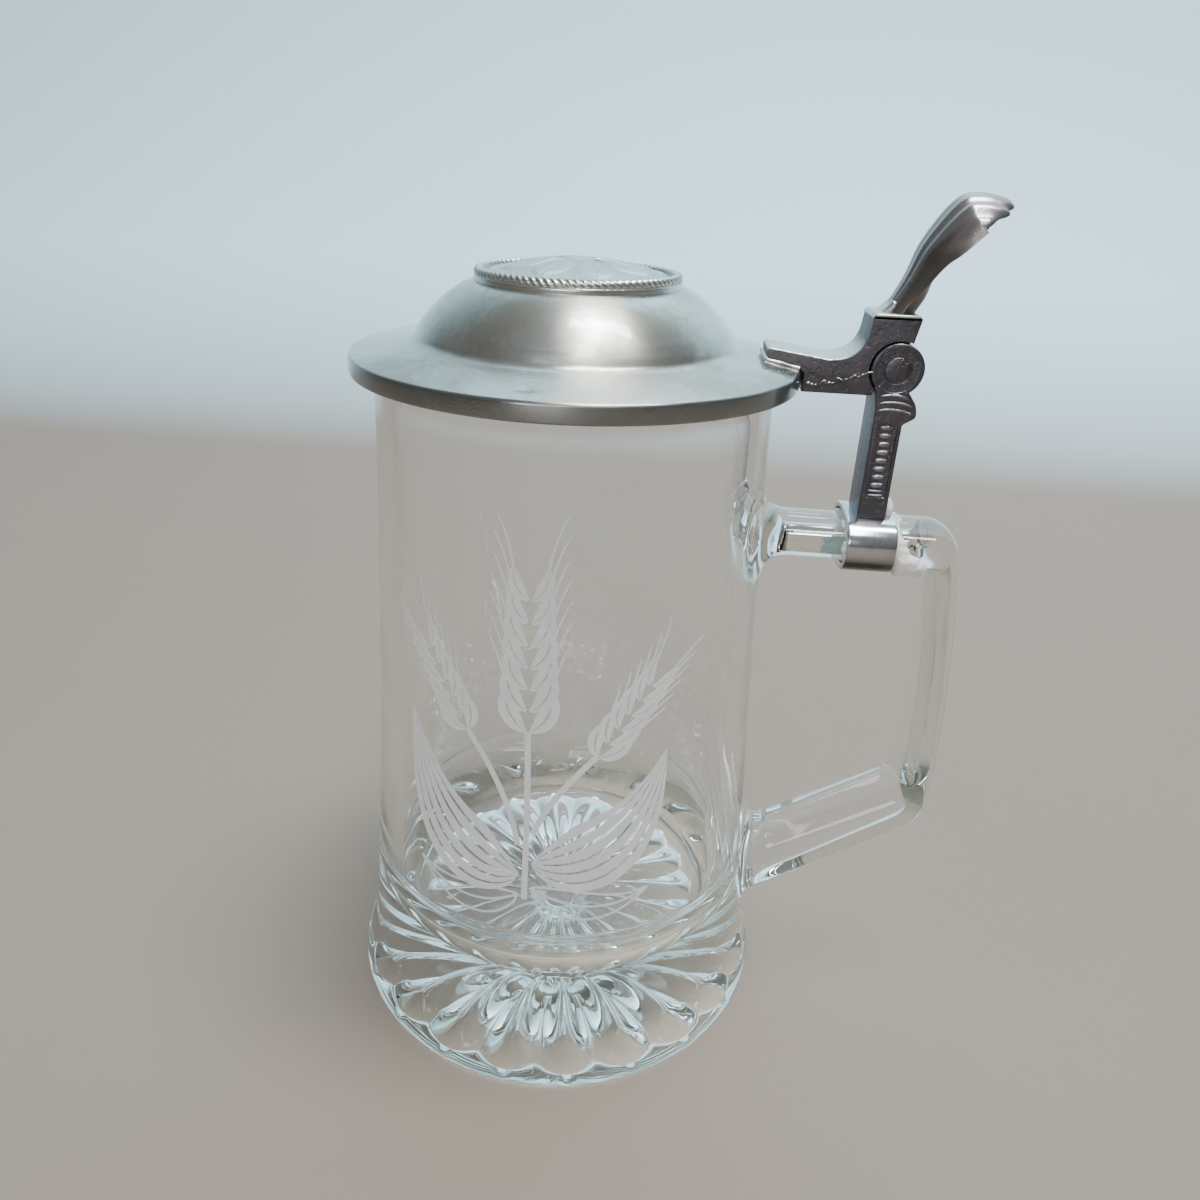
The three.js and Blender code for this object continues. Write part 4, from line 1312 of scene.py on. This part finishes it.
def thumb_leaf():
    """Shell leaf: rows across a curved ridge, arched, fluted, waisted at its neck and rolled at its edge.

    The ridge runs through a few points; across it the leaf drops as a square and its flutes are a cosine.
    """
    foot = BLOCK_TOP + PLINTH_HEIGHT
    crest = [(HINGE_X + out * LEAF_REACH, foot + up * LEAF_HEIGHT) for out, up in LEAF_RIDGE]
    ridge = through([(HINGE_X - 4.0, BLOCK_TOP + 0.4)] + crest, 24)
    length = np.concatenate([[0], np.cumsum(np.linalg.norm(np.diff(ridge, axis=0), axis=1))])
    length /= length[-1]
    u = (1 - (1 - np.linspace(0, 1, LEAF_ROWS)) ** 1.15)[:, None]
    v = np.sin(np.linspace(-math.pi / 2, math.pi / 2, LEAF_COLUMNS))[None, :]
    groove = 0.5 - 0.5 * np.cos(LEAF_FLUTES * math.pi * v)
    reach = u * (1 - 0.22 * np.abs(v) ** 3.5 - 0.025 * groove)
    x, z = np.interp(reach, length, ridge[:, 0]), np.interp(reach, length, ridge[:, 1])
    slope_x = np.interp(reach, length, np.gradient(ridge[:, 0], length))
    slope_z = np.interp(reach, length, np.gradient(ridge[:, 1], length))
    size = np.hypot(slope_x, slope_z)
    tilt = smooth(u, 0, 0.3)
    inward = np.stack([lerp(1, slope_z / size, tilt), lerp(0, -slope_x / size, tilt)], axis=-1)
    inward /= np.linalg.norm(inward, axis=-1, keepdims=True)
    spread = lerp(LEAF_NECK_HALF, LEAF_HALF, smooth(u, 0.08, 0.75))
    arch = lerp(NECK_ARCH, TIP_ARCH, smooth(u, 0.1, 0.85))
    thick = lerp(LEAF_ROOT, LEAF_THIN, smooth(u, 0, 0.8))
    upper = arch * v ** 2 + LEAF_GROOVE * u * groove
    lower = lerp(thick, arch + LEAF_SIDE, v ** 2)
    middle, half = (upper + lower) / 2, (lower - upper) / 2
    end_roll = np.clip(1 - np.clip((u - 0.94) / 0.06, 0, 1) ** 2, 0.002, 1)
    rolled = np.sqrt(np.clip(1 - np.abs(v) ** 9, 0, 1)) * np.sqrt(end_roll)

    def skin(depth):
        return np.stack([x + inward[..., 0] * depth, spread * v, z + inward[..., 1] * depth], axis=-1)

    front, back = skin(middle - half * rolled), skin(middle + half * rolled)
    back = back[:, -2:0:-1]
    # Painted shade: the leaf's sides near its neck, its flute grooves and its whole underside get low values,
    # which the material paints darker
    shaded = 1.3 * smooth(np.abs(v), 0.45, 0.85) * (1 - smooth(u, 0.35, 0.75))
    front_painted_shade = 1 - 0.6 * groove * smooth(u, 0.05, 0.4) - shaded
    relief = np.concatenate([front_painted_shade, np.full_like(back[..., 0], -0.3)], axis=1)
    return tube(np.concatenate([front, back], axis=1)), relief.ravel()


def thumb_plinth():
    """Low plinth under the leaf, chamfered in from the block's top, with a fillet that sweeps up the neck."""
    foot, neck = BLOCK_TOP + PLINTH_HEIGHT, BLOCK_TOP + 0.14 * LEAF_HEIGHT
    corners = [
        (BLOCK_BACK - 0.1, BLOCK_TOP - 0.05),
        (BLOCK_FRONT + 0.1, BLOCK_TOP - 0.05),
        (BLOCK_FRONT - 0.5, foot),
        (BLOCK_BACK + 0.6, foot),
    ]
    base = rounded(corners, [0.2, 0.2, 0.35, 0.35], 3)
    sweep = bend((BLOCK_BACK + 0.7, foot - 0.1), (HINGE_X - 3.9, foot + 0.2), (HINGE_X - 2.5, neck), 10)
    heel = [
        (HINGE_X - 0.4, neck - 0.3),
        (HINGE_X - 0.4, BLOCK_TOP - 0.5),
        (BLOCK_BACK + 0.9, BLOCK_TOP - 0.5),
    ]
    fillet = slab(np.vstack([sweep, heel]), -FILLET_HALF, FILLET_HALF, 0.9)
    return joined(slab(base, -HINGE_HALF, HINGE_HALF, LUG_EDGE), fillet)


def shank_outline():
    """Side of the shank: straight bar, beaked shoulder behind, neck, and the top left for the ears."""
    low = SHANK_LOW[2]
    corners = [
        ((SHANK_BACK, low), 0),
        ((SHANK_FRONT, low), 0),
        ((SHANK_FRONT, BEAK_Z - 2.2), 0.4),
        ((BEAK_REACH, BEAK_Z - 0.7), 0.7),
        ((BEAK_REACH - 0.3, BEAK_Z + 1.7), 1.2),
        ((SHANK_FRONT - 0.1, BEAK_Z + 4.6), 0.8),
        ((HINGE_X + 3.2, HINGE_Z - 2.2), 0),
        ((HINGE_X + 1.0, HINGE_Z + 1.0), 0),
        ((HINGE_X - 3.0, HINGE_Z + 0.5), 0),
        ((HINGE_X - 4.2, HINGE_Z - 2.6), 0),
        ((SHANK_BACK, HINGE_Z - 6.2), 2.5),
    ]
    return rounded([point for point, _ in corners], [radius for _, radius in corners])


def outer_ear(side, slot_half):
    """Ear on one side of the slot, flush with the shank's face."""
    low, high = sorted((side * slot_half, side * HINGE_HALF))
    return disc(EAR_RADIUS, low, high, SHANK_EDGE)


def hinge_shank():
    """Shank slab with two dished ears, a slot for the lug's knuckle, a bore and a sunk panel on each side."""
    body = slab(shank_outline(), -HINGE_HALF, HINGE_HALF, SHANK_EDGE)
    slot_half = KNUCKLE_HALF + SIDE_GAP
    panel = rounded([
        (SHANK_BACK + 0.9, PANEL_LOW),
        (SHANK_FRONT - 0.8, PANEL_LOW),
        (SHANK_FRONT - 0.8, BEAK_Z - 2.4),
        (SHANK_BACK + 0.9, BEAK_Z - 1.6),
    ], [0.3] * 4, 3)
    joins = [outer_ear(side, slot_half) for side in (-1, 1)]
    cuts = [
        disc(EAR_RADIUS + SWEEP_GAP, -slot_half, slot_half, 0.1),
        disc(PIN_RADIUS + 0.03, -HINGE_HALF - CUT_PAST, HINGE_HALF + CUT_PAST, 0.05),
    ]
    for side in (-1, 1):
        low, high = sorted((side * (HINGE_HALF - PANEL_DEPTH), side * (HINGE_HALF + CUT_PAST)))
        cuts.append(slab(panel, low, high, 0.12))
        cuts.append(outer_disc(EAR_RADIUS - 0.75, side, 0.12, 0.1))
        cuts.append(outer_disc(PIN_RADIUS + 0.25, side, 0.4, 0.1))
    steps = [("UNION", join) for join in joins] + [("DIFFERENCE", cut) for cut in cuts]
    return fuse("shank", body, *steps)


def hinge_pin():
    """Pin about the hinge axis with softly domed ends: half a section and its mirror."""
    end = HINGE_HALF - 0.02
    shoulder = (PIN_RADIUS - 0.35, end - 0.16)
    side = bend((PIN_RADIUS, end - 0.6), (PIN_RADIUS, end - 0.2), shoulder, 4)
    cap = bend(shoulder, (PIN_RADIUS * 0.5, end), (0, end), 6)
    upper = chain(side, cap)
    lower = upper[::-1] * np.array([1, -1])
    return across_hinge(lathe(chain(lower, upper), 60))


def shank_trim():
    """Plain beads up each panel, two bars at its foot, and three curved ribs across the shoulder."""
    parts = []
    middle = (SHANK_BACK + SHANK_FRONT) / 2 + 0.05
    along = np.linspace(0.06, 0.94, RIB_STEPS + 1)
    for side in (-1, 1):
        face = side * (HINGE_HALF - PANEL_DEPTH)
        for rise in np.linspace(PANEL_LOW + 2.7, BEAK_Z - 2.9, BEADS):
            parts.append(lump((middle, face, rise), BEAD_HALVES))
        for rise in (PANEL_LOW + 0.6, PANEL_LOW + 1.5):
            parts.append(lump((middle, face, rise), BAR_HALVES))
        for rise, reach in RIBS:
            path = bend((SHANK_BACK + 0.5, BEAK_Z + rise - 0.1), (HINGE_X + 1, BEAK_Z + rise + 0.7),
                        (HINGE_X + reach, BEAK_Z + rise - 0.5), RIB_STEPS)
            depth = np.full(RIB_STEPS + 1, side * (HINGE_HALF - RIB_SINK))
            space = np.stack([path[:, 0], depth, path[:, 1]], axis=1)
            parts.append(swept(space, RIB_RADIUS * np.sin(math.pi * along) ** 0.4, 8))
    return joined(*parts)


# Strap and cement

def strap():
    """Oval loop round the arm carrying a flat strip section with softened edges."""
    half_y, half_z = BAND_HIGH[1], BAND_HIGH[2] - ARM_Z
    angle = TAU * np.arange(STRAP_SEGMENTS) / STRAP_SEGMENTS
    loop = oval(angle, half_y - STRAP_WALL, half_z - STRAP_WALL, SECTION_POWER)
    normal = outward(loop)
    mid, half = (BAND_LOW[0] + BAND_HIGH[0]) / 2, (BAND_HIGH[0] - BAND_LOW[0]) / 2
    corners = [(-half, 0), (half, 0), (half, STRAP_WALL), (0, STRAP_WALL), (-half, STRAP_WALL)]
    section = rounded(corners, [0.2, 0.2, 0.4, 0, 0.4], 4)
    out = loop[:, None] + normal[:, None] * section[None, :, 1:]
    along = np.broadcast_to(mid + section[:, 0], out.shape[:2])
    return ring(np.stack([along, out[..., 0], out[..., 1] + ARM_Z], axis=-1))


def hump(angle, middle, width):
    """Bell curve round a loop, 1 at its middle."""
    return np.exp(-(np.angle(np.exp(1j * (angle - middle))) / width) ** 2)


def cement_bed():
    """Oval loop of cement between strap and glass: thin under the strap, lumpy where it squeezes out.

    Sums of sines make its edges ragged, and two bell curves swell it below and above the arm.
    """
    angle = TAU * np.arange(CEMENT_SEGMENTS) / CEMENT_SEGMENTS
    loop = oval(angle, ARM_WIDTH_HALF + CEMENT_GAP, ARM_HALF + CEMENT_GAP, SECTION_POWER)
    normal = outward(loop)
    ragged = 0.5 * np.sin(5 * angle + 1) + 0.35 * np.sin(11 * angle + 2.2) + 0.25 * np.sin(23 * angle)
    below = hump(angle, 1.22 * math.pi, 0.72)
    above = hump(angle, 0.55 * math.pi, 0.35)
    left = CEMENT_LOW[0] + 0.9 + 0.5 * ragged
    right = BAND_HIGH[0] + 1.2 + 0.6 * ragged + 6.0 * below + 0.9 * above
    share = np.linspace(0, 1, CEMENT_STEPS)
    x = left[:, None] + (right - left)[:, None] * share[None]
    outside = smooth(x, BAND_HIGH[0] + 0.05, BAND_HIGH[0] + 0.9)
    outside = outside + smooth(-x, 0.05 - BAND_LOW[0], 0.6 - BAND_LOW[0])
    squeezed = 0.25 + 0.2 * ragged + 1.7 * below + 0.5 * above
    lumpy = squeezed[:, None] + 0.16 * np.sin(2.7 * x + 3 * angle[:, None])
    swell = CEMENT_WALL + outside * lumpy
    taper = np.sqrt(np.clip(1 - np.abs(2 * share - 1) ** 6, 0, 1))
    outer = loop[:, None] + normal[:, None] * np.clip(swell * taper, 0.02, 3)[..., None]
    inner = np.repeat(loop[:, None], CEMENT_STEPS, axis=1)
    skins = [np.stack([x, skin[..., 0], skin[..., 1] + ARM_Z], axis=-1) for skin in (outer, inner)]
    bed = ring(np.concatenate([skins[0], skins[1][:, ::-1]], axis=1))
    wedge = lump((SHANK_FRONT + 0.9, -1.0, BAND_HIGH[2] + 0.9), (1.15, 3.2, 2.0))
    return joined(bed, wedge)


# Settings

def tone(name, description, default):
    """Setting for a colour."""
    return FloatVectorProperty(name=name, description=description, default=default, size=3,
                               subtype="COLOR", min=0.0, max=1.0)


def power(name, description, default):
    """Setting for the power of a light."""
    return FloatProperty(name=name, description=description, default=default, min=0.0, unit="POWER")


def measure(name, description, default):
    """Setting for a length, whose default is given in millimetres."""
    return FloatProperty(name=name, description=description, default=default * MM, min=0.0, unit="LENGTH")


class SteinGlassSettings(bpy.types.PropertyGroup):
    """Glass mug"""
    flutes: IntProperty(name="Flutes", description="Hollow flutes in the sunburst under the foot",
                        default=20, min=6, max=60)
    flute_depth: measure("Flute depth", "Depth of each flute at its deepest", 9.5)
    tint: tone("Tint", "Colour that thick glass takes", (0.86, 0.92, 0.905))
    tint_depth: FloatProperty(name="Tint depth", description="How soon the glass takes its tint, per metre",
                              default=14.0, min=0.0)


class SteinEtchSettings(bpy.types.PropertyGroup):
    """Etched ornament"""
    bearing: FloatProperty(name="Bearing", default=-94.0,
                           description="Middle of the ornament round the mug, in degrees from the handle")
    stroke: measure("Stroke", "Width of the drawn lines", 0.5)
    frost: tone("Frost", "Colour of the etched skin", (0.9, 0.92, 0.94))


class SteinPewterSettings(bpy.types.PropertyGroup):
    """Pewter lid and fittings"""
    pewter: tone("Pewter", "Colour of clean pewter", (0.6, 0.645, 0.615))
    cast: tone("Cast skin", "Colour of the dark cast faces", (0.095, 0.092, 0.112))
    rubbed: tone("Rubbed", "Colour of the handled thumblift", (0.37, 0.345, 0.355))
    stain: tone("Stain", "Colour of tarnish", (0.34, 0.3, 0.24))
    # Painted shade: darker colour given to the lid's upright outer edge
    rim: tone("Rim", "Colour of the handled rim of the lid", (0.2, 0.21, 0.205))
    tarnish: FloatProperty(name="Tarnish", description="How much of the metal is tarnished",
                           default=0.3, min=0.0, max=0.6, subtype="FACTOR")
    twists: IntProperty(name="Rope twists", description="Strands round the medallion's rope",
                        default=90, min=12, max=160)


class SteinStageSettings(bpy.types.PropertyGroup):
    """Floor, light and camera"""
    floor: tone("Floor", "Colour of the floor", (0.24, 0.2, 0.163))
    wall: tone("Wall", "Colour of the wall behind", (0.6, 0.87, 1.0))
    panel_power: power("Panel", "Power of the overhead panel", 15.0)
    fill_power: power("Fill", "Power of the backdrop's light", 52.0)
    front_power: power("Front", "Power of the low light in front", 4.2)
    room: FloatProperty(name="Room", description="Strength of the light from the room", default=0.34, min=0.0)
    lens: FloatProperty(name="Lens", description="Focal length on a 36 mm sensor", default=27.75, min=5.0)


# Operators

class STEIN_OT_glass(bpy.types.Operator):
    """Press the glass mug with its handle"""
    bl_idname = "stein.glass"
    bl_label = "Glass mug"

    def execute(self, context):
        settings = context.scene.stein_glass
        glass = glass_material(settings)
        add_piece("mug_glass", mug_glass(settings), glass, "mug", ["glass_mug"])
        return {"FINISHED"}


class STEIN_OT_etching(bpy.types.Operator):
    """Etch the barley on the front of the mug"""
    bl_idname = "stein.etching"
    bl_label = "Etched barley"

    def execute(self, context):
        settings = context.scene.stein_etch
        flakes = [thin_patch(settings, sheet) for sheet in barley_sheets(settings)]
        add_piece("etched_barley", joined(*flakes), frost_material(settings), "mug", sharp=40)
        return {"FINISHED"}


class STEIN_OT_lid(bpy.types.Operator):
    """Spin the lid and set the roped medallion on it"""
    bl_idname = "stein.lid"
    bl_label = "Lid and medallion"

    def execute(self, context):
        settings = context.scene.stein_pewter
        add_piece("lid_dome", lid_shell(), spun_material(settings), "lid", ["lid_shell"], 50)
        surface, relief = medallion(settings)
        # Half-strength pewter is the painted shade of the medallion's hollows
        finish = relief_material(settings, "Medallion pewter", settings.pewter, dimmed(settings.pewter, 0.5))
        add_piece("roped_medallion", surface, finish, "lid", ["lid_medallion"], 60, relief)
        return {"FINISHED"}


class STEIN_OT_lug(bpy.types.Operator):
    """Cast the lug, its solder and the shell thumblift"""
    bl_idname = "stein.lug"
    bl_label = "Lug and thumblift"

    def execute(self, context):
        settings = context.scene.stein_pewter
        cast = cast_material(settings, "Cast pewter", settings.cast, settings.pewter, 0.5)
        add_piece("lug", lid_lug(), cast, "lid", ["lid_lug"], 32)
        bright = cast_material(settings, "Solder", dimmed(settings.pewter, 0.45), settings.pewter, 0.42, 0.2)
        add_piece("lug_solder", solder_runs(), bright, "lid")
        add_piece("lug_seam", seam_runs(), cast, "lid")
        surface, relief = thumb_leaf()
        # A darker copy of the rubbed colour is the painted shade on the leaf's sides, grooves and underside
        shell = relief_material(settings, "Rubbed pewter", settings.rubbed, dimmed(settings.rubbed, 0.28))
        add_piece("shell_leaf", surface, shell, "lid", ["thumblift"], 60, relief)
        add_piece("shell_plinth", thumb_plinth(), bright, "lid", sharp=32)
        return {"FINISHED"}


class STEIN_OT_hinge(bpy.types.Operator):
    """Cast the shank with its ears, trim and pin"""
    bl_idname = "stein.hinge"
    bl_label = "Shank and pin"

    def execute(self, context):
        settings = context.scene.stein_pewter
        cast = cast_material(settings, "Dark cast pewter", settings.cast, settings.pewter, 0.42)
        add_piece("shank", hinge_shank(), cast, "mug", ["hinge_shank"], 32)
        trim = cast_material(settings, "Rubbed trim", dimmed(settings.cast, 2.8), settings.pewter, 0.34)
        add_piece("shank_trim", shank_trim(), trim, "mug")
        add_piece("pin", hinge_pin(), cast, "mug", ["hinge_pin"], 50)
        return {"FINISHED"}


class STEIN_OT_strap(bpy.types.Operator):
    """Wrap the strap round the arm and bed it in cement"""
    bl_idname = "stein.strap"
    bl_label = "Strap and cement"

    def execute(self, context):
        add_piece("strap", strap(), strap_material(), "mug", ["handle_band"], 50)
        add_piece("cement", cement_bed(), cement_material(), "mug", ["band_cement"])
        return {"FINISHED"}


class STEIN_OT_stage(bpy.types.Operator):
    """Lay the floor, hang the lights and set the camera"""
    bl_idname = "stein.stage"
    bl_label = "Stage"

    def execute(self, context):
        settings = context.scene.stein_stage
        add_floor(settings)
        for name, place, turn, spread, strength in LIGHTS:
            add_light(name, place, turn, spread, getattr(settings, strength))
        add_world(settings)
        add_camera(settings)
        return {"FINISHED"}


# Stage

def add_floor(settings):
    """Floor that curves up behind into a plain wall: one profile carried along X."""
    profile = chain(
        line((FLOOR_FRONT, 0), (FLOOR_BACK, 0), 6),
        arc((FLOOR_BACK, WALL_ROUND), WALL_ROUND, -90, 0, 16),
        line((FLOOR_BACK + WALL_ROUND, WALL_ROUND), (FLOOR_BACK + WALL_ROUND, WALL_TOP), 4),
    )
    side = np.linspace(-FLOOR_HALF, FLOOR_HALF, 9)
    rows = np.broadcast_arrays(side[None, :], profile[:, :1], profile[:, 1:] - FLOOR_GAP * MM)
    points = np.stack(rows, axis=-1)
    mesh = bpy.data.meshes.new("floor")
    mesh.from_pydata(points.reshape(-1, 3).tolist(), [], grid_faces(*points.shape[:2]))
    mesh.polygons.foreach_set("use_smooth", np.ones(len(mesh.polygons), dtype=bool))
    mesh.materials.append(floor_material(settings))
    floor = bpy.data.objects.new("floor", mesh)
    bpy.context.collection.objects.link(floor)


def add_light(name, place, turn, spread, strength):
    """Rectangular soft light that shines down its own Z."""
    lamp = bpy.data.lights.new(name, "AREA")
    lamp.shape = "RECTANGLE"
    lamp.size, lamp.size_y = spread
    lamp.energy = strength
    holder = bpy.data.objects.new(name, lamp)
    holder.location = place
    holder.rotation_euler = [math.radians(angle) for angle in turn]
    bpy.context.collection.objects.link(holder)


def add_world(settings):
    """Room light: grey that brightens from the floor towards the ceiling."""
    world = bpy.data.worlds.new("Room")
    world.use_nodes = True
    tree = world.node_tree
    height = node(tree, "SeparateXYZ", {0: node(tree, "TexCoord").outputs["Generated"]}).outputs[2]
    shade = mixed(tree, ramped(tree, height, -0.1, 0.9), (0.3, 0.31, 0.33), (0.95, 0.98, 1.0))
    wire(tree, tree.nodes["Background"], {"Color": shade, "Strength": settings.room})
    bpy.context.scene.world = world


def rotation(degrees, axis):
    """Turn about an axis."""
    return Matrix.Rotation(math.radians(degrees), 4, axis)


def add_camera(settings):
    """Camera at the photograph's angle: in front and above, turned, tipped down and rolled a little."""
    lens = bpy.data.cameras.new("camera")
    lens.sensor_width = 36.0
    lens.lens = settings.lens
    lens.clip_start = 0.01
    holder = bpy.data.objects.new("camera", lens)
    around = math.radians(CAMERA_BEARING)
    away = CAMERA_AWAY * MM
    place = Matrix.Translation((away * math.sin(around), -away * math.cos(around), CAMERA_HEIGHT * MM))
    aim = rotation(CAMERA_BEARING - CAMERA_YAW, "Z") @ rotation(90 - CAMERA_PITCH, "X")
    holder.matrix_world = place @ aim @ rotation(CAMERA_ROLL, "Z")
    bpy.context.collection.objects.link(holder)
    bpy.context.scene.camera = holder


# Panel and registration

STEPS = (STEIN_OT_glass, STEIN_OT_etching, STEIN_OT_lid, STEIN_OT_lug, STEIN_OT_hinge, STEIN_OT_strap,
         STEIN_OT_stage)
GROUPS = {
    "stein_glass": SteinGlassSettings,
    "stein_etch": SteinEtchSettings,
    "stein_pewter": SteinPewterSettings,
    "stein_stage": SteinStageSettings,
}


class STEIN_PT_panel(bpy.types.Panel):
    """Stein pieces and their settings"""
    bl_idname = "STEIN_PT_panel"
    bl_label = "Lidded stein"
    bl_space_type = "VIEW_3D"
    bl_region_type = "UI"
    bl_category = "Stein"

    def draw(self, context):
        for step in STEPS:
            self.layout.operator(step.bl_idname)
        for name, group in GROUPS.items():
            box = self.layout.box()
            box.label(text=group.__doc__)
            for key in group.__annotations__:
                box.prop(getattr(context.scene, name), key)


CLASSES = (*GROUPS.values(), *STEPS, STEIN_PT_panel)


def register():
    """Register the classes and hang their settings on the scene."""
    for item in CLASSES:
        bpy.utils.register_class(item)
    for name, group in GROUPS.items():
        setattr(bpy.types.Scene, name, PointerProperty(type=group))


def unregister():
    """Take the settings and classes away again."""
    for name in GROUPS:
        delattr(bpy.types.Scene, name)
    for item in reversed(CLASSES):
        bpy.utils.unregister_class(item)


def main():
    """Build every piece and the stage."""
    register()
    for step in STEPS:
        family, name = step.bl_idname.split(".")
        getattr(getattr(bpy.ops, family), name)()
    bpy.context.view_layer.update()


if __name__ == "__main__":
    main()
